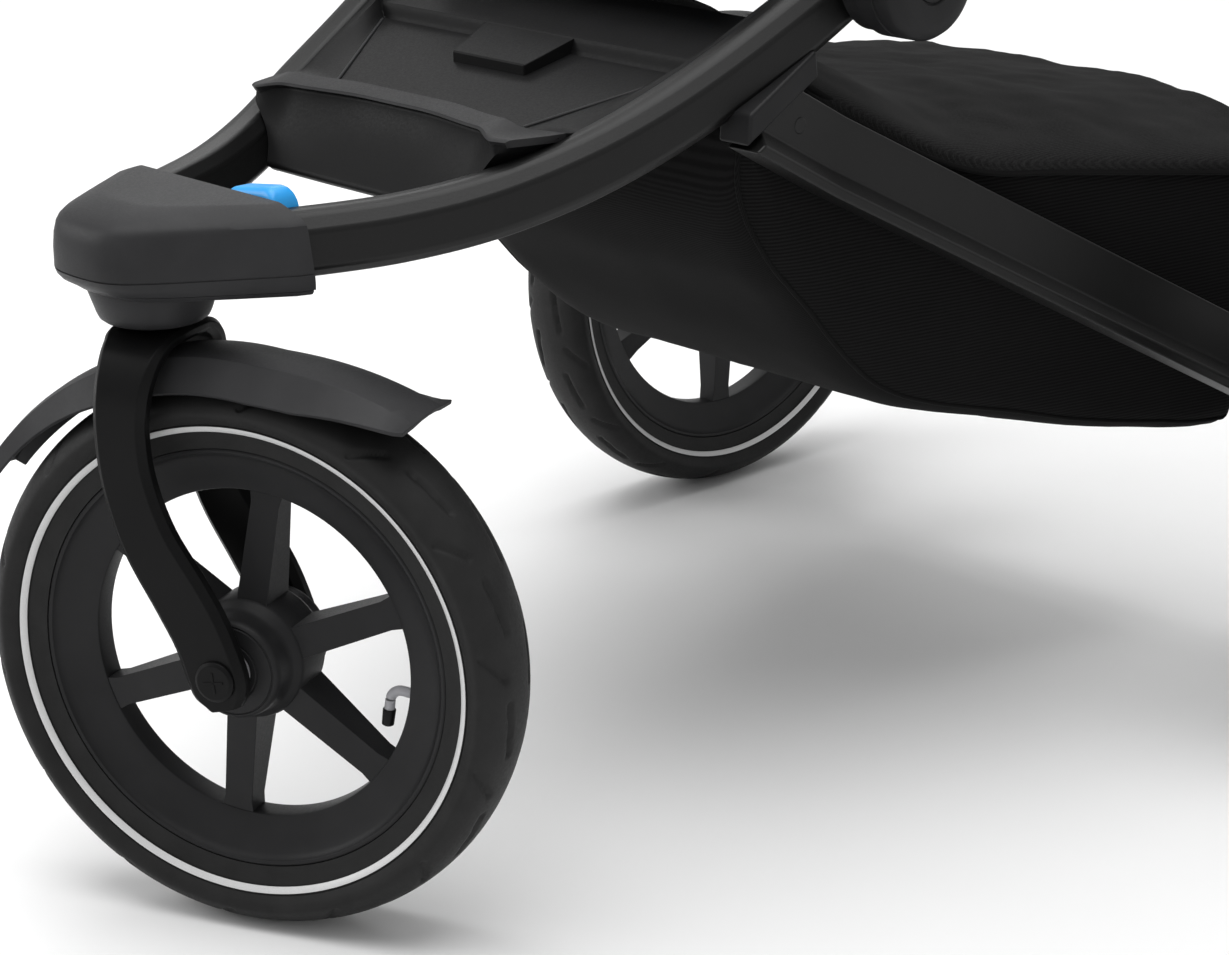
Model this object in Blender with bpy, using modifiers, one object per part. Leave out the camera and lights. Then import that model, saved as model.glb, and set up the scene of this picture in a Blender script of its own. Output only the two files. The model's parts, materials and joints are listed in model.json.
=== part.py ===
"""Three-wheeled jogging stroller, modelled piece by piece.

Metres, +Z up. The stroller faces -Y and its left side is +X. The origin is on the ground,
midway along the stroller. Pieces of the frame are drawn in stem coordinates, whose origin
is where the front wheel's swivel axis meets the ground.
"""
from math import atan2, cos, hypot, pi, radians, sin, tan

import bmesh
import bpy
from mathutils import Vector

# Clearances
FIT = 0.0003
RUN = 0.0006

# Where things stand
FRONT_RADIUS = 0.1585
REAR_RADIUS = 0.1875
TRAIL = 0.054
STEER_REST = radians(-64.81)
AXLE_Y = 0.767
TRACK_HALF = 0.322

# Tyres, rims and hubs, alike on all three wheels
WHEEL_STEPS = 32
TYRE_WIDTH = 0.0584
TYRE_HEIGHT = 0.0369
SHOULDER_DROP = 0.0165
STRIPE_DROP = 0.0243
STRIPE_HALF = 0.0232
BEAD_HALF = 0.0190
TYRE_WALL = 0.0035
TREAD_WALL = 0.0045
INNER_TUBE_RADIUS = 0.0122
RIM_HALF = 0.0185
RIM_LIP = 0.0062
RIM_DEPTH = 0.0260
RIM_FLOOR_HALF = 0.0080
SPOKES = 6
SPOKE_THICK = 0.024
SPOKE_AT_RIM = 0.021
SPOKE_AT_HUB = 0.026
SPOKE_WALL = 0.0045
SPOKE_WEB = 0.008
FRONT_SPOKE_ANGLE = radians(82.4)
REAR_SPOKE_ANGLE = radians(90)
HUB_RADIUS = 0.028
HUB_NECK = 0.019
HUB_BEVEL = 0.006
HUB_HALF = 0.0335
HUB_STEPS = 24
BEARING_RADIUS = 0.0125
BORE_STEPS = 20
AXLE_RADIUS = 0.006
VALVE_RADIUS = 0.0030
VALVE_REACH = 0.014
VALVE_BEND = 0.007
VALVE_LENGTH = 0.022
VALVE_SUNK = 0.004

# Fork and swivel stem
FORK_INNER = 0.0365
FORK_THICK = 0.0130
FORK_WIDTH = 0.0355
FORK_CORNER = 0.3
CROWN_GAP = 0.0200
CROWN_Z = 2 * FRONT_RADIUS + CROWN_GAP
CROWN_THICK = 0.0085
DROPOUT_RADIUS = 0.0172
AXLE_HEAD_RADIUS = 0.0115
AXLE_HEAD_FACE = 0.0092
AXLE_HEAD_EDGE = 0.001
AXLE_HEAD = 0.0040
STEM_RADIUS = 0.0100
STEM_END_GAP = 0.001

# Sections of a fork leg near the axle, as (step behind the axle, height above it, share of the width)
FORK_LOW = [
    (0.0030, -DROPOUT_RADIUS, 0.55), (0.0, -0.35 * DROPOUT_RADIUS, 0.97), (-0.0090, 0.0205, 1.0),
    (-0.0205, 0.0420, 1.0),
]
# Sections from there up, as (step inward, step behind the stem, drop below the crown, share of the width)
FORK_HIGH = [
    (0.0, 0.0145, 0.1050, 0.94), (0.0, 0.0038, 0.0730, 0.89), (0.0, 0.0010, 0.0440, 0.88),
    (0.0010, 0.0040, 0.0185, 0.94), (0.0080, 0.0040, 0.0050, 1.10), (0.0230, 0.0020, 0.0, 1.25),
]

# Mudguard over the front wheel, with angles from rearward towards up
FENDER_HALF = 0.0315
FENDER_TOP_HALF = 0.0145
FENDER_CROWN = 0.001
FENDER_GAP = 0.0138
FENDER_REAR_LIFT = 0.0117
FENDER_FRONT_LIFT = 0.0118
FENDER_WALL = 0.0026
FENDER_SKIRT = 0.0190
FENDER_REAR_SKIRT = 0.10
FENDER_REAR_GROWTH = 4.0
FENDER_FRONT_SKIRT = 0.55
FENDER_FRONT_GROWTH = 1.2
FENDER_TAPER_START = 0.6
FENDER_BOSS_RADIUS = 0.0120
FENDER_REAR = radians(55.4)
FENDER_TOP_REAR = radians(58.4)
FENDER_LOWEST = radians(85)
FENDER_FRONT = radians(151)

# Lower cover of the nose with the stem's collar
COLLAR_GAP = 0.00125
COLLAR_LOW = CROWN_Z + CROWN_THICK / 2 + COLLAR_GAP
COLLAR_TALL = 0.0230
COLLAR_FOOT_RADIUS = 0.0235
COLLAR_FOOT = 0.004
COLLAR_LOW_RADIUS = 0.0275
COLLAR_HIGH_RADIUS = 0.0345
COLLAR_STEPS = 28
NOSE_COVER = 0.0082
NOSE_COVER_SHARES = ((0.86, 0.72), (0.93, 0.87))

# Nose housing: its plan, then its sections up from its foot, as (height, share of width, share of length)
NOSE_REAR = 0.0460
NOSE_PLAN = [
    (0.083, 0.046), (0.080, 0.036), (0.060, 0.002), (0.040, -0.030), (0.027, -0.044), (0.012, -0.049),
]
NOSE_LEVELS = [
    (0.0, 0.94, 0.88), (0.0090, 1.0, 1.0), (0.0255, 1.0, 0.985), (0.0365, 0.96, 0.86), (0.0450, 0.81, 0.64),
]
NOSE_ROOF = 0.011
NOSE_LOW = COLLAR_LOW + COLLAR_TALL
NOSE_HIGH = NOSE_LOW + NOSE_LEVELS[-1][0]

# Swivel-lock lever in the nose
LEVER_INNER = 0.0175
LEVER_OUTER = 0.0500
LEVER_FRONT = 0.0370
LEVER_REAR = 0.0580
LEVER_SUNK = 0.0043
LEVER_LOW = NOSE_HIGH - LEVER_SUNK
LEVER_THICK = 0.0054

# Front tubes, from the nose up to the fold hubs: the left one's line, as (X, Y, height above the nose's foot)
TUBE_WIDE = 0.0290
TUBE_HIGH = 0.0360
TUBE_CORNER = 0.0090
FRONT_TUBE_LINE = [
    (0.0505, 0.0250, 0.0210), (0.0605, 0.0470, 0.0215), (0.0850, 0.1010, 0.0250), (0.1090, 0.1520, 0.0350),
    (0.1320, 0.2050, 0.0540), (0.1490, 0.2650, 0.0815), (0.1630, 0.3310, 0.1185), (0.1690, 0.3900, 0.1535),
]
FRONT_TUBE_ROUTE = [(x, y, NOSE_LOW + rise) for x, y, rise in FRONT_TUBE_LINE]
ROUTE_STEPS = 3

# Fold hubs, with their axis across the stroller
HUB_Y = 0.373
HUB_RISE = 0.1455
HUB_Z = NOSE_LOW + HUB_RISE
FOLD_RADIUS = 0.037
FOLD_BASE_RADIUS = 0.035
FOLD_EDGE = 0.003
FOLD_GAP = 0.0008
FOLD_BASE = 0.012
FOLD_COVER = 0.028
FOLD_CAP = 0.006
FOLD_PIN = 0.0080
FOLD_STEPS = 28

# Upper frame and handlebar
UPPER_ANGLE = radians(46)
UPPER_LENGTH = 0.600
UPPER_RADIUS = 0.0135
HANDLE_ANGLE = radians(27)
HANDLE_LENGTH = 0.190
HANDLE_CORNER = 0.060
HANDLE_RADIUS = 0.0110
GRIP_RADIUS = 0.0165
GRIP_END_GAP = 0.004
PIVOT_RADIUS = 0.0240
PIVOT_WIDE = 0.034
PIVOT_STEPS = 24

# Rear legs and their brackets
WHEEL_GAP = 0.0095
AXLE_BRACKET = 0.034
AXLE_BRACKET_EDGE = 0.008
LEG_PIVOT_Y = 0.3248
LEG_PIVOT_RISE = 0.0603
LEG_PIVOT_Z = NOSE_LOW + LEG_PIVOT_RISE
LEG_X = 0.165
LEG_END_X = TRACK_HALF - HUB_HALF - WHEEL_GAP - AXLE_BRACKET / 2
LEG_ABOVE = 0.018
LEG_BELOW = 0.029
LEG_WEB = 0.009
LEG_FLANGE = 0.015
LEG_FLANGE_EDGE = 0.006
LEG_FLANGE_ROOT = 0.016
LEG_STRAIGHT = 0.07
LEG_SHARE = 0.90
LEG_END_GAP = 0.0193
LEG_PIN = 0.0050
CHEEK = 0.0050
CHEEK_RADIUS = 0.0095
SADDLE_HALF = 0.020
SADDLE_RISE = 0.015

# Rear axle and brake
AXLE_TUBE_RADIUS = 0.0130
AXLE_TUBE_WALL = 0.0030
BRAKE_RING_RADIUS = 0.040
BRAKE_NOTCH_RADIUS = 0.024
BRAKE_NOTCHES = 12
BRAKE_RING = 0.010
BRAKE_PIN_RADIUS = 0.0032
BRAKE_PIN_AT = 0.032
PEDAL_INSET = 0.112
PEDAL_X = PEDAL_INSET - LEG_END_X
PEDAL_WIDE = 0.060
PEDAL_LONG = 0.068
PEDAL_THICK = 0.007
PEDAL_ANGLE = radians(20)
SLEEVE_WALL = 0.0050
PLATE_INSET = 0.001
BUTTON_LONG = 0.0090
BUTTON_PROUD = 0.0050

# Footrest between the front tubes
FOOT_LIP_Y = 0.172
FOOT_LIP_RISE = 0.0655
FOOT_LIP_Z = NOSE_LOW + FOOT_LIP_RISE
FOOT_DECK_STEP = 0.003
FOOT_DECK_ROWS = (0.010, 0.043, 0.083, 0.122)
FOOT_SLOPE = radians(16.5)
FOOT_APRON = 0.042
FOOT_APRON_AHEAD = 0.012
FOOT_ROLL = 0.0168
FOOT_ROLL_AHEAD = 0.004
FOOT_WALL = 0.0045
FOOT_SIDE_GAP = 0.0008

# Seat cushion, its cross tube and the fold release under it
CROSS_TUBE_RADIUS = 0.0095
CROSS_TUBE_Y = 0.378
CROSS_TUBE_DROP = 0.013
CROSS_TUBE_Z = HUB_Z - CROSS_TUBE_DROP
PADDLE_WIDE = 0.090
PADDLE_LONG = 0.046
PADDLE_ANGLE = radians(-30)
SEAT_HALF = 0.138
SEAT_FRONT_Y = 0.300
SEAT_TURN_Y = 0.368
SEAT_REAR_Y = 0.446
SEAT_DROP = 0.0287
SEAT_THICK = 0.034
PAD_EDGE = 0.55
PAD_WAIST = 0.025
PAD_FOOT = 0.97
CHANNELS = 4
CHANNEL_DEPTH = 0.0045
CHANNEL_MARGIN = 0.06
CHANNEL_SHARPNESS = 12

# Seat back and harness
BACK_PIVOT_ALONG = 0.100
BACK_FOOT_Y = 0.500
BACK_FOOT_RISE = 0.035
BACK_FOOT_Z = HUB_Z + BACK_FOOT_RISE
BACK_ANGLE = radians(64)
BACK_LENGTH = 0.440
BACK_HALF = 0.150
BACK_THICK = 0.034
BACK_FRAME_RADIUS = 0.0070
BACK_FRAME_HALF = 0.162
BACK_FRAME_JOIN = 0.110
BACK_FRAME_TOP = 0.3872
BACK_FRAME_TURN = 0.020
STRAP_WIDE = 0.036
STRAP_THICK = 0.003
STRAP_X = 0.055
STRAP_GAP = 0.001
STRAP_START = 0.20
STRAP_END = 0.86
BUCKLE_LONG = 0.056
BUCKLE_WIDE = 0.046
BUCKLE_CORNER = 0.012
BUCKLE_HIGH = 0.014
BUCKLE_Y = 0.375
BUCKLE_BUTTON_RADIUS = 0.012
BUCKLE_BUTTON_HIGH = 0.0050
BUCKLE_BUTTON_PROUD = 0.0028

# Canopy of three nesting panels
CANOPY_ALONG = 0.430
CANOPY_RADIUS = 0.262
CANOPY_ROOT = 0.020
CANOPY_DISC = 0.024
CANOPY_WALL = 0.0030
CANOPY_START = radians(62)
CANOPY_PANEL = radians(30)
CANOPY_LAP = radians(2)
CANOPY_BOW_ANGLES = [radians(angle) for angle in (12, 30, 48, 66, 80)]
CANOPY_SIDE_POWER = 0.55
CANOPY_TOP_POWER = 0.75

# Basket sections from front to rear, as (Y, top half width, top height, bottom half width, bottom height).
# Heights are above the leg pivot, but the rear sections' bottoms are above the rear axle.
BASKET_WALL = 0.004
BASKET_SAG = 0.006
BASKET_CORNER = 0.030
BASKET_CORNER_SHARE = 0.4
BASKET_FRONT_HALF = LEG_X - LEG_WEB / 2 - RUN - CHEEK - FIT
BASKET_FRONT = [
    (0.298, BASKET_FRONT_HALF, 0.0142, 0.1500, -0.0018), (0.306, BASKET_FRONT_HALF, 0.0172, 0.1500, -0.0308),
    (0.330, BASKET_FRONT_HALF, 0.0242, 0.1500, -0.0758), (0.362, BASKET_FRONT_HALF, 0.0092, 0.1500, -0.1168),
    (0.400, 0.1600, -0.0108, 0.1500, -0.1548), (0.441, 0.1700, -0.0308, 0.1500, -0.1858),
    (0.481, 0.1780, -0.0428, 0.1510, -0.2038),
]
BASKET_REAR = [
    (0.540, 0.1870, -0.0503, 0.1520, 0.0115), (0.620, 0.1970, -0.0613, 0.1540, -0.0085),
    (0.700, 0.2060, -0.0723, 0.1560, -0.0215), (0.720, 0.2080, -0.0748, 0.1570, -0.0225),
    (0.742, 0.2100, -0.0768, 0.1600, 0.0145), (0.765, 0.2120, -0.0788, 0.1700, 0.0645),
]
COVER_FRONT = 0.330
COVER_WALL = 0.004
COVER_GAP = 0.0010
COVER_CROWN = 0.036

SIDES = (("left", 1), ("right", -1))
pivot_place = {}


def place_on_circle(radius, angle):
    """A step in the Y, Z plane, at an angle from rearward towards up."""
    return radius * cos(angle), radius * sin(angle)


def mirrored(points):
    """Points of a route or outline, moved to the stroller's right side."""
    return [(-point[0], *point[1:]) for point in points]


def on_side(points, side):
    return points if side > 0 else mirrored(points)


# Places that several pieces take from the front tubes and the upper frame


def front_tube_at(y):
    """The left front tube at a distance behind the stem: its X, how much it splays, and its slope."""
    for before, after in zip(FRONT_TUBE_ROUTE, FRONT_TUBE_ROUTE[1:]):
        if y <= after[1]:
            break
    run = after[1] - before[1]
    splay = (after[0] - before[0]) / run
    return before[0] + (y - before[1]) * splay, splay, atan2(after[2] - before[2], run)


def between_tubes(y):
    """Half of the space between the front tubes, which splay, at a distance behind the stem."""
    x, splay, _ = front_tube_at(y)
    return x - TUBE_WIDE / 2 * (1 + splay**2) ** 0.5


HUB_FACE = FRONT_TUBE_ROUTE[-1][0] + TUBE_WIDE / 2 + FOLD_GAP
COVER_FACE = HUB_FACE + FOLD_BASE + RUN
HUB_END = COVER_FACE + FOLD_COVER
UPPER_X = (COVER_FACE + HUB_END) / 2


def upper_point(x, along):
    """A point at a distance along the upper tubes from the fold hubs."""
    y, z = place_on_circle(along, UPPER_ANGLE)
    return x, HUB_Y + y, HUB_Z + z


def back_point(x, along, ahead):
    """A point on the seat back: up along it from its foot, and ahead of its rear face."""
    y, z = place_on_circle(along, BACK_ANGLE)
    dy, dz = place_on_circle(ahead, BACK_ANGLE + pi / 2)
    return x, BACK_FOOT_Y + y + dy, BACK_FOOT_Z + z + dz


def handle_point(x, along):
    """A point at a distance along the handlebar's arms from its pivots."""
    y, z = place_on_circle(along, HANDLE_ANGLE)
    _, pivot_y, pivot_z = upper_point(0, UPPER_LENGTH)
    return x, pivot_y + y, pivot_z + z


LEG_LENGTH = hypot(AXLE_Y - LEG_PIVOT_Y, REAR_RADIUS - LEG_PIVOT_Z)
TUBE_SLOPE = front_tube_at(LEG_PIVOT_Y)[2]
LEG_SLANT = TUBE_SLOPE - atan2(REAR_RADIUS - LEG_PIVOT_Z, AXLE_Y - LEG_PIVOT_Y)


def leg_point(share, rise=0.0, out=0.0):
    """A point on the left rear leg: a share of its length, with a rise across it and a step outward."""
    start = Vector((LEG_X, LEG_PIVOT_Y, LEG_PIVOT_Z))
    run = Vector((0, AXLE_Y - LEG_PIVOT_Y, REAR_RADIUS - LEG_PIVOT_Z))
    up = Vector((0, -run.z, run.y)).normalized()
    splay = max(0.0, share - LEG_STRAIGHT) / (1 - LEG_STRAIGHT) * (LEG_END_X - LEG_X)
    return start + run * share + up * rise + Vector((splay + out, 0, 0))


# Collections, materials and objects


def new_collection(name):
    collection = bpy.data.collections.new(name)
    bpy.context.scene.collection.children.link(collection)
    return collection


def new_material(name, colour, roughness, metallic=0.0):
    material = bpy.data.materials.new(name)
    material.use_nodes = True
    shader = material.node_tree.nodes["Principled BSDF"]
    shader.inputs["Base Color"].default_value = (*colour, 1.0)
    shader.inputs["Roughness"].default_value = roughness
    shader.inputs["Metallic"].default_value = metallic
    return material


def new_pivot(name, parent, place, turn=0.0):
    """An empty on a joint's axis; place is in the coordinates that its children are drawn in."""
    empty = bpy.data.objects.new(name, None)
    empty.empty_display_size = 0.03
    parts.objects.link(empty)
    pivot_place[name] = Vector(place)
    if parent:
        empty.parent = parent
        empty.location = Vector(place) - pivot_place[parent.name]
    empty.rotation_euler = (0, 0, turn)
    return empty


def new_object(name, data, material, pivot, location=(0, 0, 0), rotation=(0, 0, 0)):
    """One piece, drawn in the coordinates of its pivot's place."""
    obj = bpy.data.objects.new(name, data)
    parts.objects.link(obj)
    finish = material.copy()
    finish.name = name
    data.materials.append(finish)
    obj.parent = pivot
    obj.location = Vector(location) - pivot_place[pivot.name]
    obj.rotation_euler = rotation
    return obj


def as_cutter(obj):
    parts.objects.unlink(obj)
    cutters.objects.link(obj)
    obj.hide_render = True
    obj.display_type = "WIRE"
    return obj


def combine(obj, operation, tool):
    modifier = obj.modifiers.new(operation.title() + " " + tool.name, "BOOLEAN")
    modifier.operation = operation
    modifier.solver = "EXACT"
    modifier.object = as_cutter(tool)


# Shapes


def turned(name, profile, material, pivot, steps, location=(0, 0, 0), upright=False, closed=True):
    """A profile of (radius, height) pairs, run down its outer side, turned about X or about Z."""
    mesh = bpy.data.meshes.new(name)
    count = len(profile)
    edges = [(i, (i + 1) % count) for i in range(count if closed else count - 1)]
    mesh.from_pydata([(radius, 0, height) for radius, height in profile], edges, [])
    rotation = (0, 0, 0) if upright else (0, pi / 2, 0)
    obj = new_object(name, mesh, material, pivot, location, rotation)
    screw = obj.modifiers.new("Turn", "SCREW")
    screw.steps = steps
    screw.render_steps = steps
    screw.use_merge_vertices = True
    screw.merge_threshold = 0.00005
    return obj


def rod(name, radius, start, end, material, pivot, location=(0, 0, 0), steps=16, bore=0.0, upright=False):
    """A rod, or a sleeve where it has a bore, between two heights along its axis."""
    low, high = sorted((start, end))
    if bore:
        profile = [(radius, high), (radius, low), (bore, low), (bore, high)]
    else:
        profile = [(0, high), (radius, high), (radius, low), (0, low)]
    return turned(name, profile, material, pivot, steps, location, upright, closed=bool(bore))


def solid(name, bm, material, pivot):
    """A closed body from its faces, turned to face outward."""
    bmesh.ops.recalc_face_normals(bm, faces=bm.faces)
    return shell(name, bm, material, pivot)


def shell(name, bm, material, pivot):
    mesh = bpy.data.meshes.new(name)
    bm.to_mesh(mesh)
    bm.free()
    mesh.shade_smooth()
    mesh.set_sharp_from_angle(angle=radians(40))
    return new_object(name, mesh, material, pivot)


def add_loft(bm, rings):
    """A closed skin through rings of equal counts, capped at both ends."""
    loops = [[bm.verts.new(point) for point in ring] for ring in rings]
    count = len(loops[0])
    for here, there in zip(loops, loops[1:]):
        for i in range(count):
            j = (i + 1) % count
            bm.faces.new((here[i], here[j], there[j], there[i]))
    bm.faces.new(loops[0])
    bm.faces.new(loops[-1])


def lofted(name, rings, material, pivot):
    bm = bmesh.new()
    add_loft(bm, rings)
    return solid(name, bm, material, pivot)


def raised(outline, start, end, axis):
    """Two rings: an outline in the plane across an axis, at a start and an end along it."""
    if axis == "X":
        return [[(height, u, v) for u, v in outline] for height in (start, end)]
    return [[(u, v, height) for u, v in outline] for height in (start, end)]


def prism(name, outline, start, end, axis, material, pivot):
    return lofted(name, raised(outline, start, end, axis), material, pivot)


def sheet(name, rows, wall, material, pivot, offset=0.0):
    """An open surface through rows of points, given a wall.

    It faces along a step in a row crossed with a step between rows.
    """
    bm = bmesh.new()
    grid = [[bm.verts.new(point) for point in row] for row in rows]
    for here, there in zip(grid, grid[1:]):
        for i in range(len(here) - 1):
            bm.faces.new((here[i], here[i + 1], there[i + 1], there[i]))
    obj = shell(name, bm, material, pivot)
    modifier = obj.modifiers.new("Wall", "SOLIDIFY")
    modifier.thickness = wall
    modifier.offset = offset
    modifier.use_even_offset = True
    return obj


def smooth_route(points, steps):
    """Points along a Catmull-Rom curve through the given ones."""
    points = [Vector(point) for point in points]
    padded = [points[0] * 2 - points[1]] + points + [points[-1] * 2 - points[-2]]
    route = []
    for a, b, c, d in zip(padded, padded[1:], padded[2:], padded[3:]):
        for step in range(steps):
            t = step / steps
            bend = (a * 2 - b * 5 + c * 4 - d) * t**2 + (b * 3 - a - c * 3 + d) * t**3
            route.append((b * 2 + (c - a) * t + bend) / 2)
    return route + [points[-1]]


def tube(name, points, radius, material, pivot, resolution=2):
    """A round tube along points."""
    curve = bpy.data.curves.new(name, "CURVE")
    curve.dimensions = "3D"
    curve.use_fill_caps = True
    curve.bevel_depth = radius
    curve.bevel_resolution = resolution
    spline = curve.splines.new("POLY")
    spline.points.add(len(points) - 1)
    for point, place in zip(spline.points, points):
        point.co = (*place, 1)
    return new_object(name, curve, material, pivot)


def swept(name, points, outline, material, pivot):
    """An outline of (sideways, upward) pairs carried along a route, kept upright."""
    points = [Vector(point) for point in points]
    rings = []
    for i, point in enumerate(points):
        ahead = (points[min(i + 1, len(points) - 1)] - points[max(i - 1, 0)]).normalized()
        sideways = ahead.cross(Vector((0, 0, 1))).normalized()
        upward = sideways.cross(ahead)
        rings.append([point + sideways * u + upward * v for u, v in outline])
    return lofted(name, rings, material, pivot)


def rounded_rectangle(wide, high, corner, steps=2):
    outline = []
    for turn, (sign_x, sign_y) in enumerate([(1, 1), (-1, 1), (-1, -1), (1, -1)]):
        centre_x, centre_y = sign_x * (wide / 2 - corner), sign_y * (high / 2 - corner)
        for step in range(steps + 1):
            angle = pi / 2 * (turn + step / steps)
            outline.append((centre_x + corner * cos(angle), centre_y + corner * sin(angle)))
    return outline


def arc(radius, start, end, steps, centre=(0, 0)):
    angles = [start + (end - start) * i / steps for i in range(steps + 1)]
    return [(centre[0] + radius * cos(angle), centre[1] + radius * sin(angle)) for angle in angles]


# Wheels


def tyre_profile(radius):
    """A tyre's casing as (radius, height) pairs, down its outside and back up its inside."""
    half = TYRE_WIDTH / 2
    outer = [(half * sin(t), SHOULDER_DROP * (1 - cos(t))) for t in (0, pi / 6, pi / 3, pi / 2)]
    outer += [(STRIPE_HALF, STRIPE_DROP), (BEAD_HALF, TYRE_HEIGHT)]
    inner = [
        (0, TREAD_WALL), (half - TYRE_WALL, SHOULDER_DROP), (STRIPE_HALF - TYRE_WALL, STRIPE_DROP),
        (BEAD_HALF - TYRE_WALL, TYRE_HEIGHT),
    ]
    down = outer[:0:-1] + [(-across, drop) for across, drop in outer]
    back = [(-across, drop) for across, drop in inner[:0:-1]] + inner
    return [(radius - drop, across) for across, drop in down + back]


def build_wheel(name, radius, pivot, spoke_angle):
    """Tyre, inner tube, rim and bearing of one wheel, with its axle along X through its pivot."""
    centre = pivot_place[pivot.name]
    bed = radius - TYRE_HEIGHT - FIT
    turned(name + "_tyre", tyre_profile(radius), rubber, pivot, WHEEL_STEPS, centre)
    ring = arc(INNER_TUBE_RADIUS, 0, -2 * pi * 5 / 6, 5, (bed + FIT + INNER_TUBE_RADIUS, 0))
    turned(name + "_inner_tube", ring, rubber, pivot, WHEEL_STEPS, centre)
    floor = bed - RIM_DEPTH
    section = [
        (bed, RIM_HALF), (bed, -RIM_HALF), (bed - RIM_LIP, -RIM_HALF),
        (floor, -RIM_FLOOR_HALF), (floor, RIM_FLOOR_HALF), (bed - RIM_LIP, RIM_HALF),
    ]
    rim = turned(name + "_rim", section, moulded, pivot, WHEEL_STEPS, centre)
    add_spokes(rim, name, pivot, floor, spoke_angle)
    return rim, bed


def add_spokes(rim, name, pivot, floor, spoke_angle):
    """Hub and channelled spokes, moulded in one with the rim."""
    centre = pivot_place[pivot.name]
    outline, channels = [], []
    for spoke in range(SPOKES):
        angle = spoke_angle + 2 * pi * spoke / SPOKES
        along, across = Vector((cos(angle), sin(angle))), Vector((-sin(angle), cos(angle)))
        middle = Vector((centre.y, centre.z))
        near, far = middle + along * HUB_RADIUS, middle + along * (floor + RIM_DEPTH / 4)
        outline += [near - across * SPOKE_AT_HUB / 2, far - across * SPOKE_AT_RIM / 2]
        outline += [far + across * SPOKE_AT_RIM / 2, near + across * SPOKE_AT_HUB / 2]
        inner, outer = middle + along * (HUB_RADIUS + SPOKE_WALL), middle + along * (floor - SPOKE_WALL)
        broad, slim = across * (SPOKE_AT_HUB / 2 - SPOKE_WALL), across * (SPOKE_AT_RIM / 2 - SPOKE_WALL)
        channels.append([inner - broad, outer - slim, outer + slim, inner + broad])
    face = SPOKE_THICK / 2
    spider = prism(name + "_spider", outline, centre.x - face, centre.x + face, "X", moulded, pivot)
    hub_profile = [
        (0, HUB_HALF), (HUB_NECK, HUB_HALF), (HUB_RADIUS, HUB_HALF - HUB_BEVEL),
        (HUB_RADIUS, HUB_BEVEL - HUB_HALF), (HUB_NECK, -HUB_HALF), (0, -HUB_HALF),
    ]
    hub = turned(name + "_hub", hub_profile, moulded, pivot, HUB_STEPS, centre, closed=False)
    combine(rim, "UNION", spider)
    combine(rim, "UNION", hub)
    cut = bmesh.new()
    for sign in (-1, 1):
        web, beyond = centre.x + sign * SPOKE_WEB / 2, centre.x + sign * SPOKE_THICK
        for channel in channels:
            add_loft(cut, raised(channel, web, beyond, "X"))
    combine(rim, "DIFFERENCE", solid(name + "_channels", cut, moulded, pivot))


def bore_hub(rim, name, pivot):
    reach = 2 * HUB_HALF
    centre = pivot_place[pivot.name]
    bore = rod(name + "_bore", BEARING_RADIUS, -reach, reach, moulded, pivot, centre, BORE_STEPS)
    combine(rim, "DIFFERENCE", bore)


def build_bearing(name, pivot, start, end):
    """A bush in the hub's bore, running on the axle."""
    rod(name, BEARING_RADIUS - FIT, start, end, steel, pivot, pivot_place[pivot.name], BORE_STEPS,
        bore=AXLE_RADIUS + RUN / 2)


def build_front_wheel():
    rim, bed = build_wheel("front", FRONT_RADIUS, front_wheel, FRONT_SPOKE_ANGLE)
    bore_hub(rim, "front", front_wheel)
    build_bearing("front_bearing", front_wheel, -HUB_HALF, HUB_HALF)
    build_valve(rim, bed)


def build_valve(rim, bed):
    """Bent valve stem: out of the rim midway between two spokes, then down alongside it."""
    angle = FRONT_SPOKE_ANGLE - 3 * pi / SPOKES
    centre = pivot_place[front_wheel.name]
    outward = Vector((0, cos(angle), sin(angle)))
    down = Vector((0, sin(angle), -cos(angle)))
    corner = bed - RIM_DEPTH - VALVE_REACH
    turn = [(VALVE_BEND * (1 - sin(t)), VALVE_BEND * (1 - cos(t))) for t in (0, pi / 6, pi / 3, pi / 2)]
    route = [(bed - corner - VALVE_SUNK, 0)] + turn + [(0, VALVE_LENGTH)]
    route = [centre + outward * (corner + out) + down * fall for out, fall in route]
    tube("front_valve", route, VALVE_RADIUS, steel, front_wheel, 1)
    drilled = [centre + outward * radius for radius in (bed + RIM_LIP, corner)]
    hole = swept("valve_hole", drilled, arc(VALVE_RADIUS + FIT, 0, 2 * pi * 7 / 8, 7), moulded, front_wheel)
    combine(rim, "DIFFERENCE", hole)


def build_rear_wheel(name, side, pivot, button):
    """Rear wheel with a notched brake ring on its inner face and a release button in its outer one."""
    node = "rear_" + name
    rim, _ = build_wheel(node, REAR_RADIUS, pivot, REAR_SPOKE_ANGLE)
    centre = pivot_place[pivot.name]
    step = 2 * pi / BRAKE_NOTCHES
    outline = []
    for tooth in range(BRAKE_NOTCHES):
        angle = pi / 2 + tooth * step
        for turn, radius in ((-0.3, BRAKE_NOTCH_RADIUS), (0.3, BRAKE_NOTCH_RADIUS),
                             (0.3, BRAKE_RING_RADIUS), (0.7, BRAKE_RING_RADIUS)):
            y, z = place_on_circle(radius, angle + turn * step)
            outline.append((centre.y + y, centre.z + z))
    face = centre.x - side * HUB_HALF
    ring = prism(node + "_brake_ring", outline, face, face + side * BRAKE_RING, "X", moulded, pivot)
    combine(rim, "UNION", ring)
    bore_hub(rim, node, pivot)
    bush_end = HUB_HALF - BUTTON_LONG - BUTTON_PROUD
    build_bearing(node + "_bearing", pivot, -side * HUB_HALF, side * bush_end)
    end = side * (HUB_HALF + BUTTON_PROUD)
    start = end - side * BUTTON_LONG
    rod("release_button_" + name, BEARING_RADIUS - RUN, start, end, blue, button, centre, BORE_STEPS)


# Front fork, mudguard and nose


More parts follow.
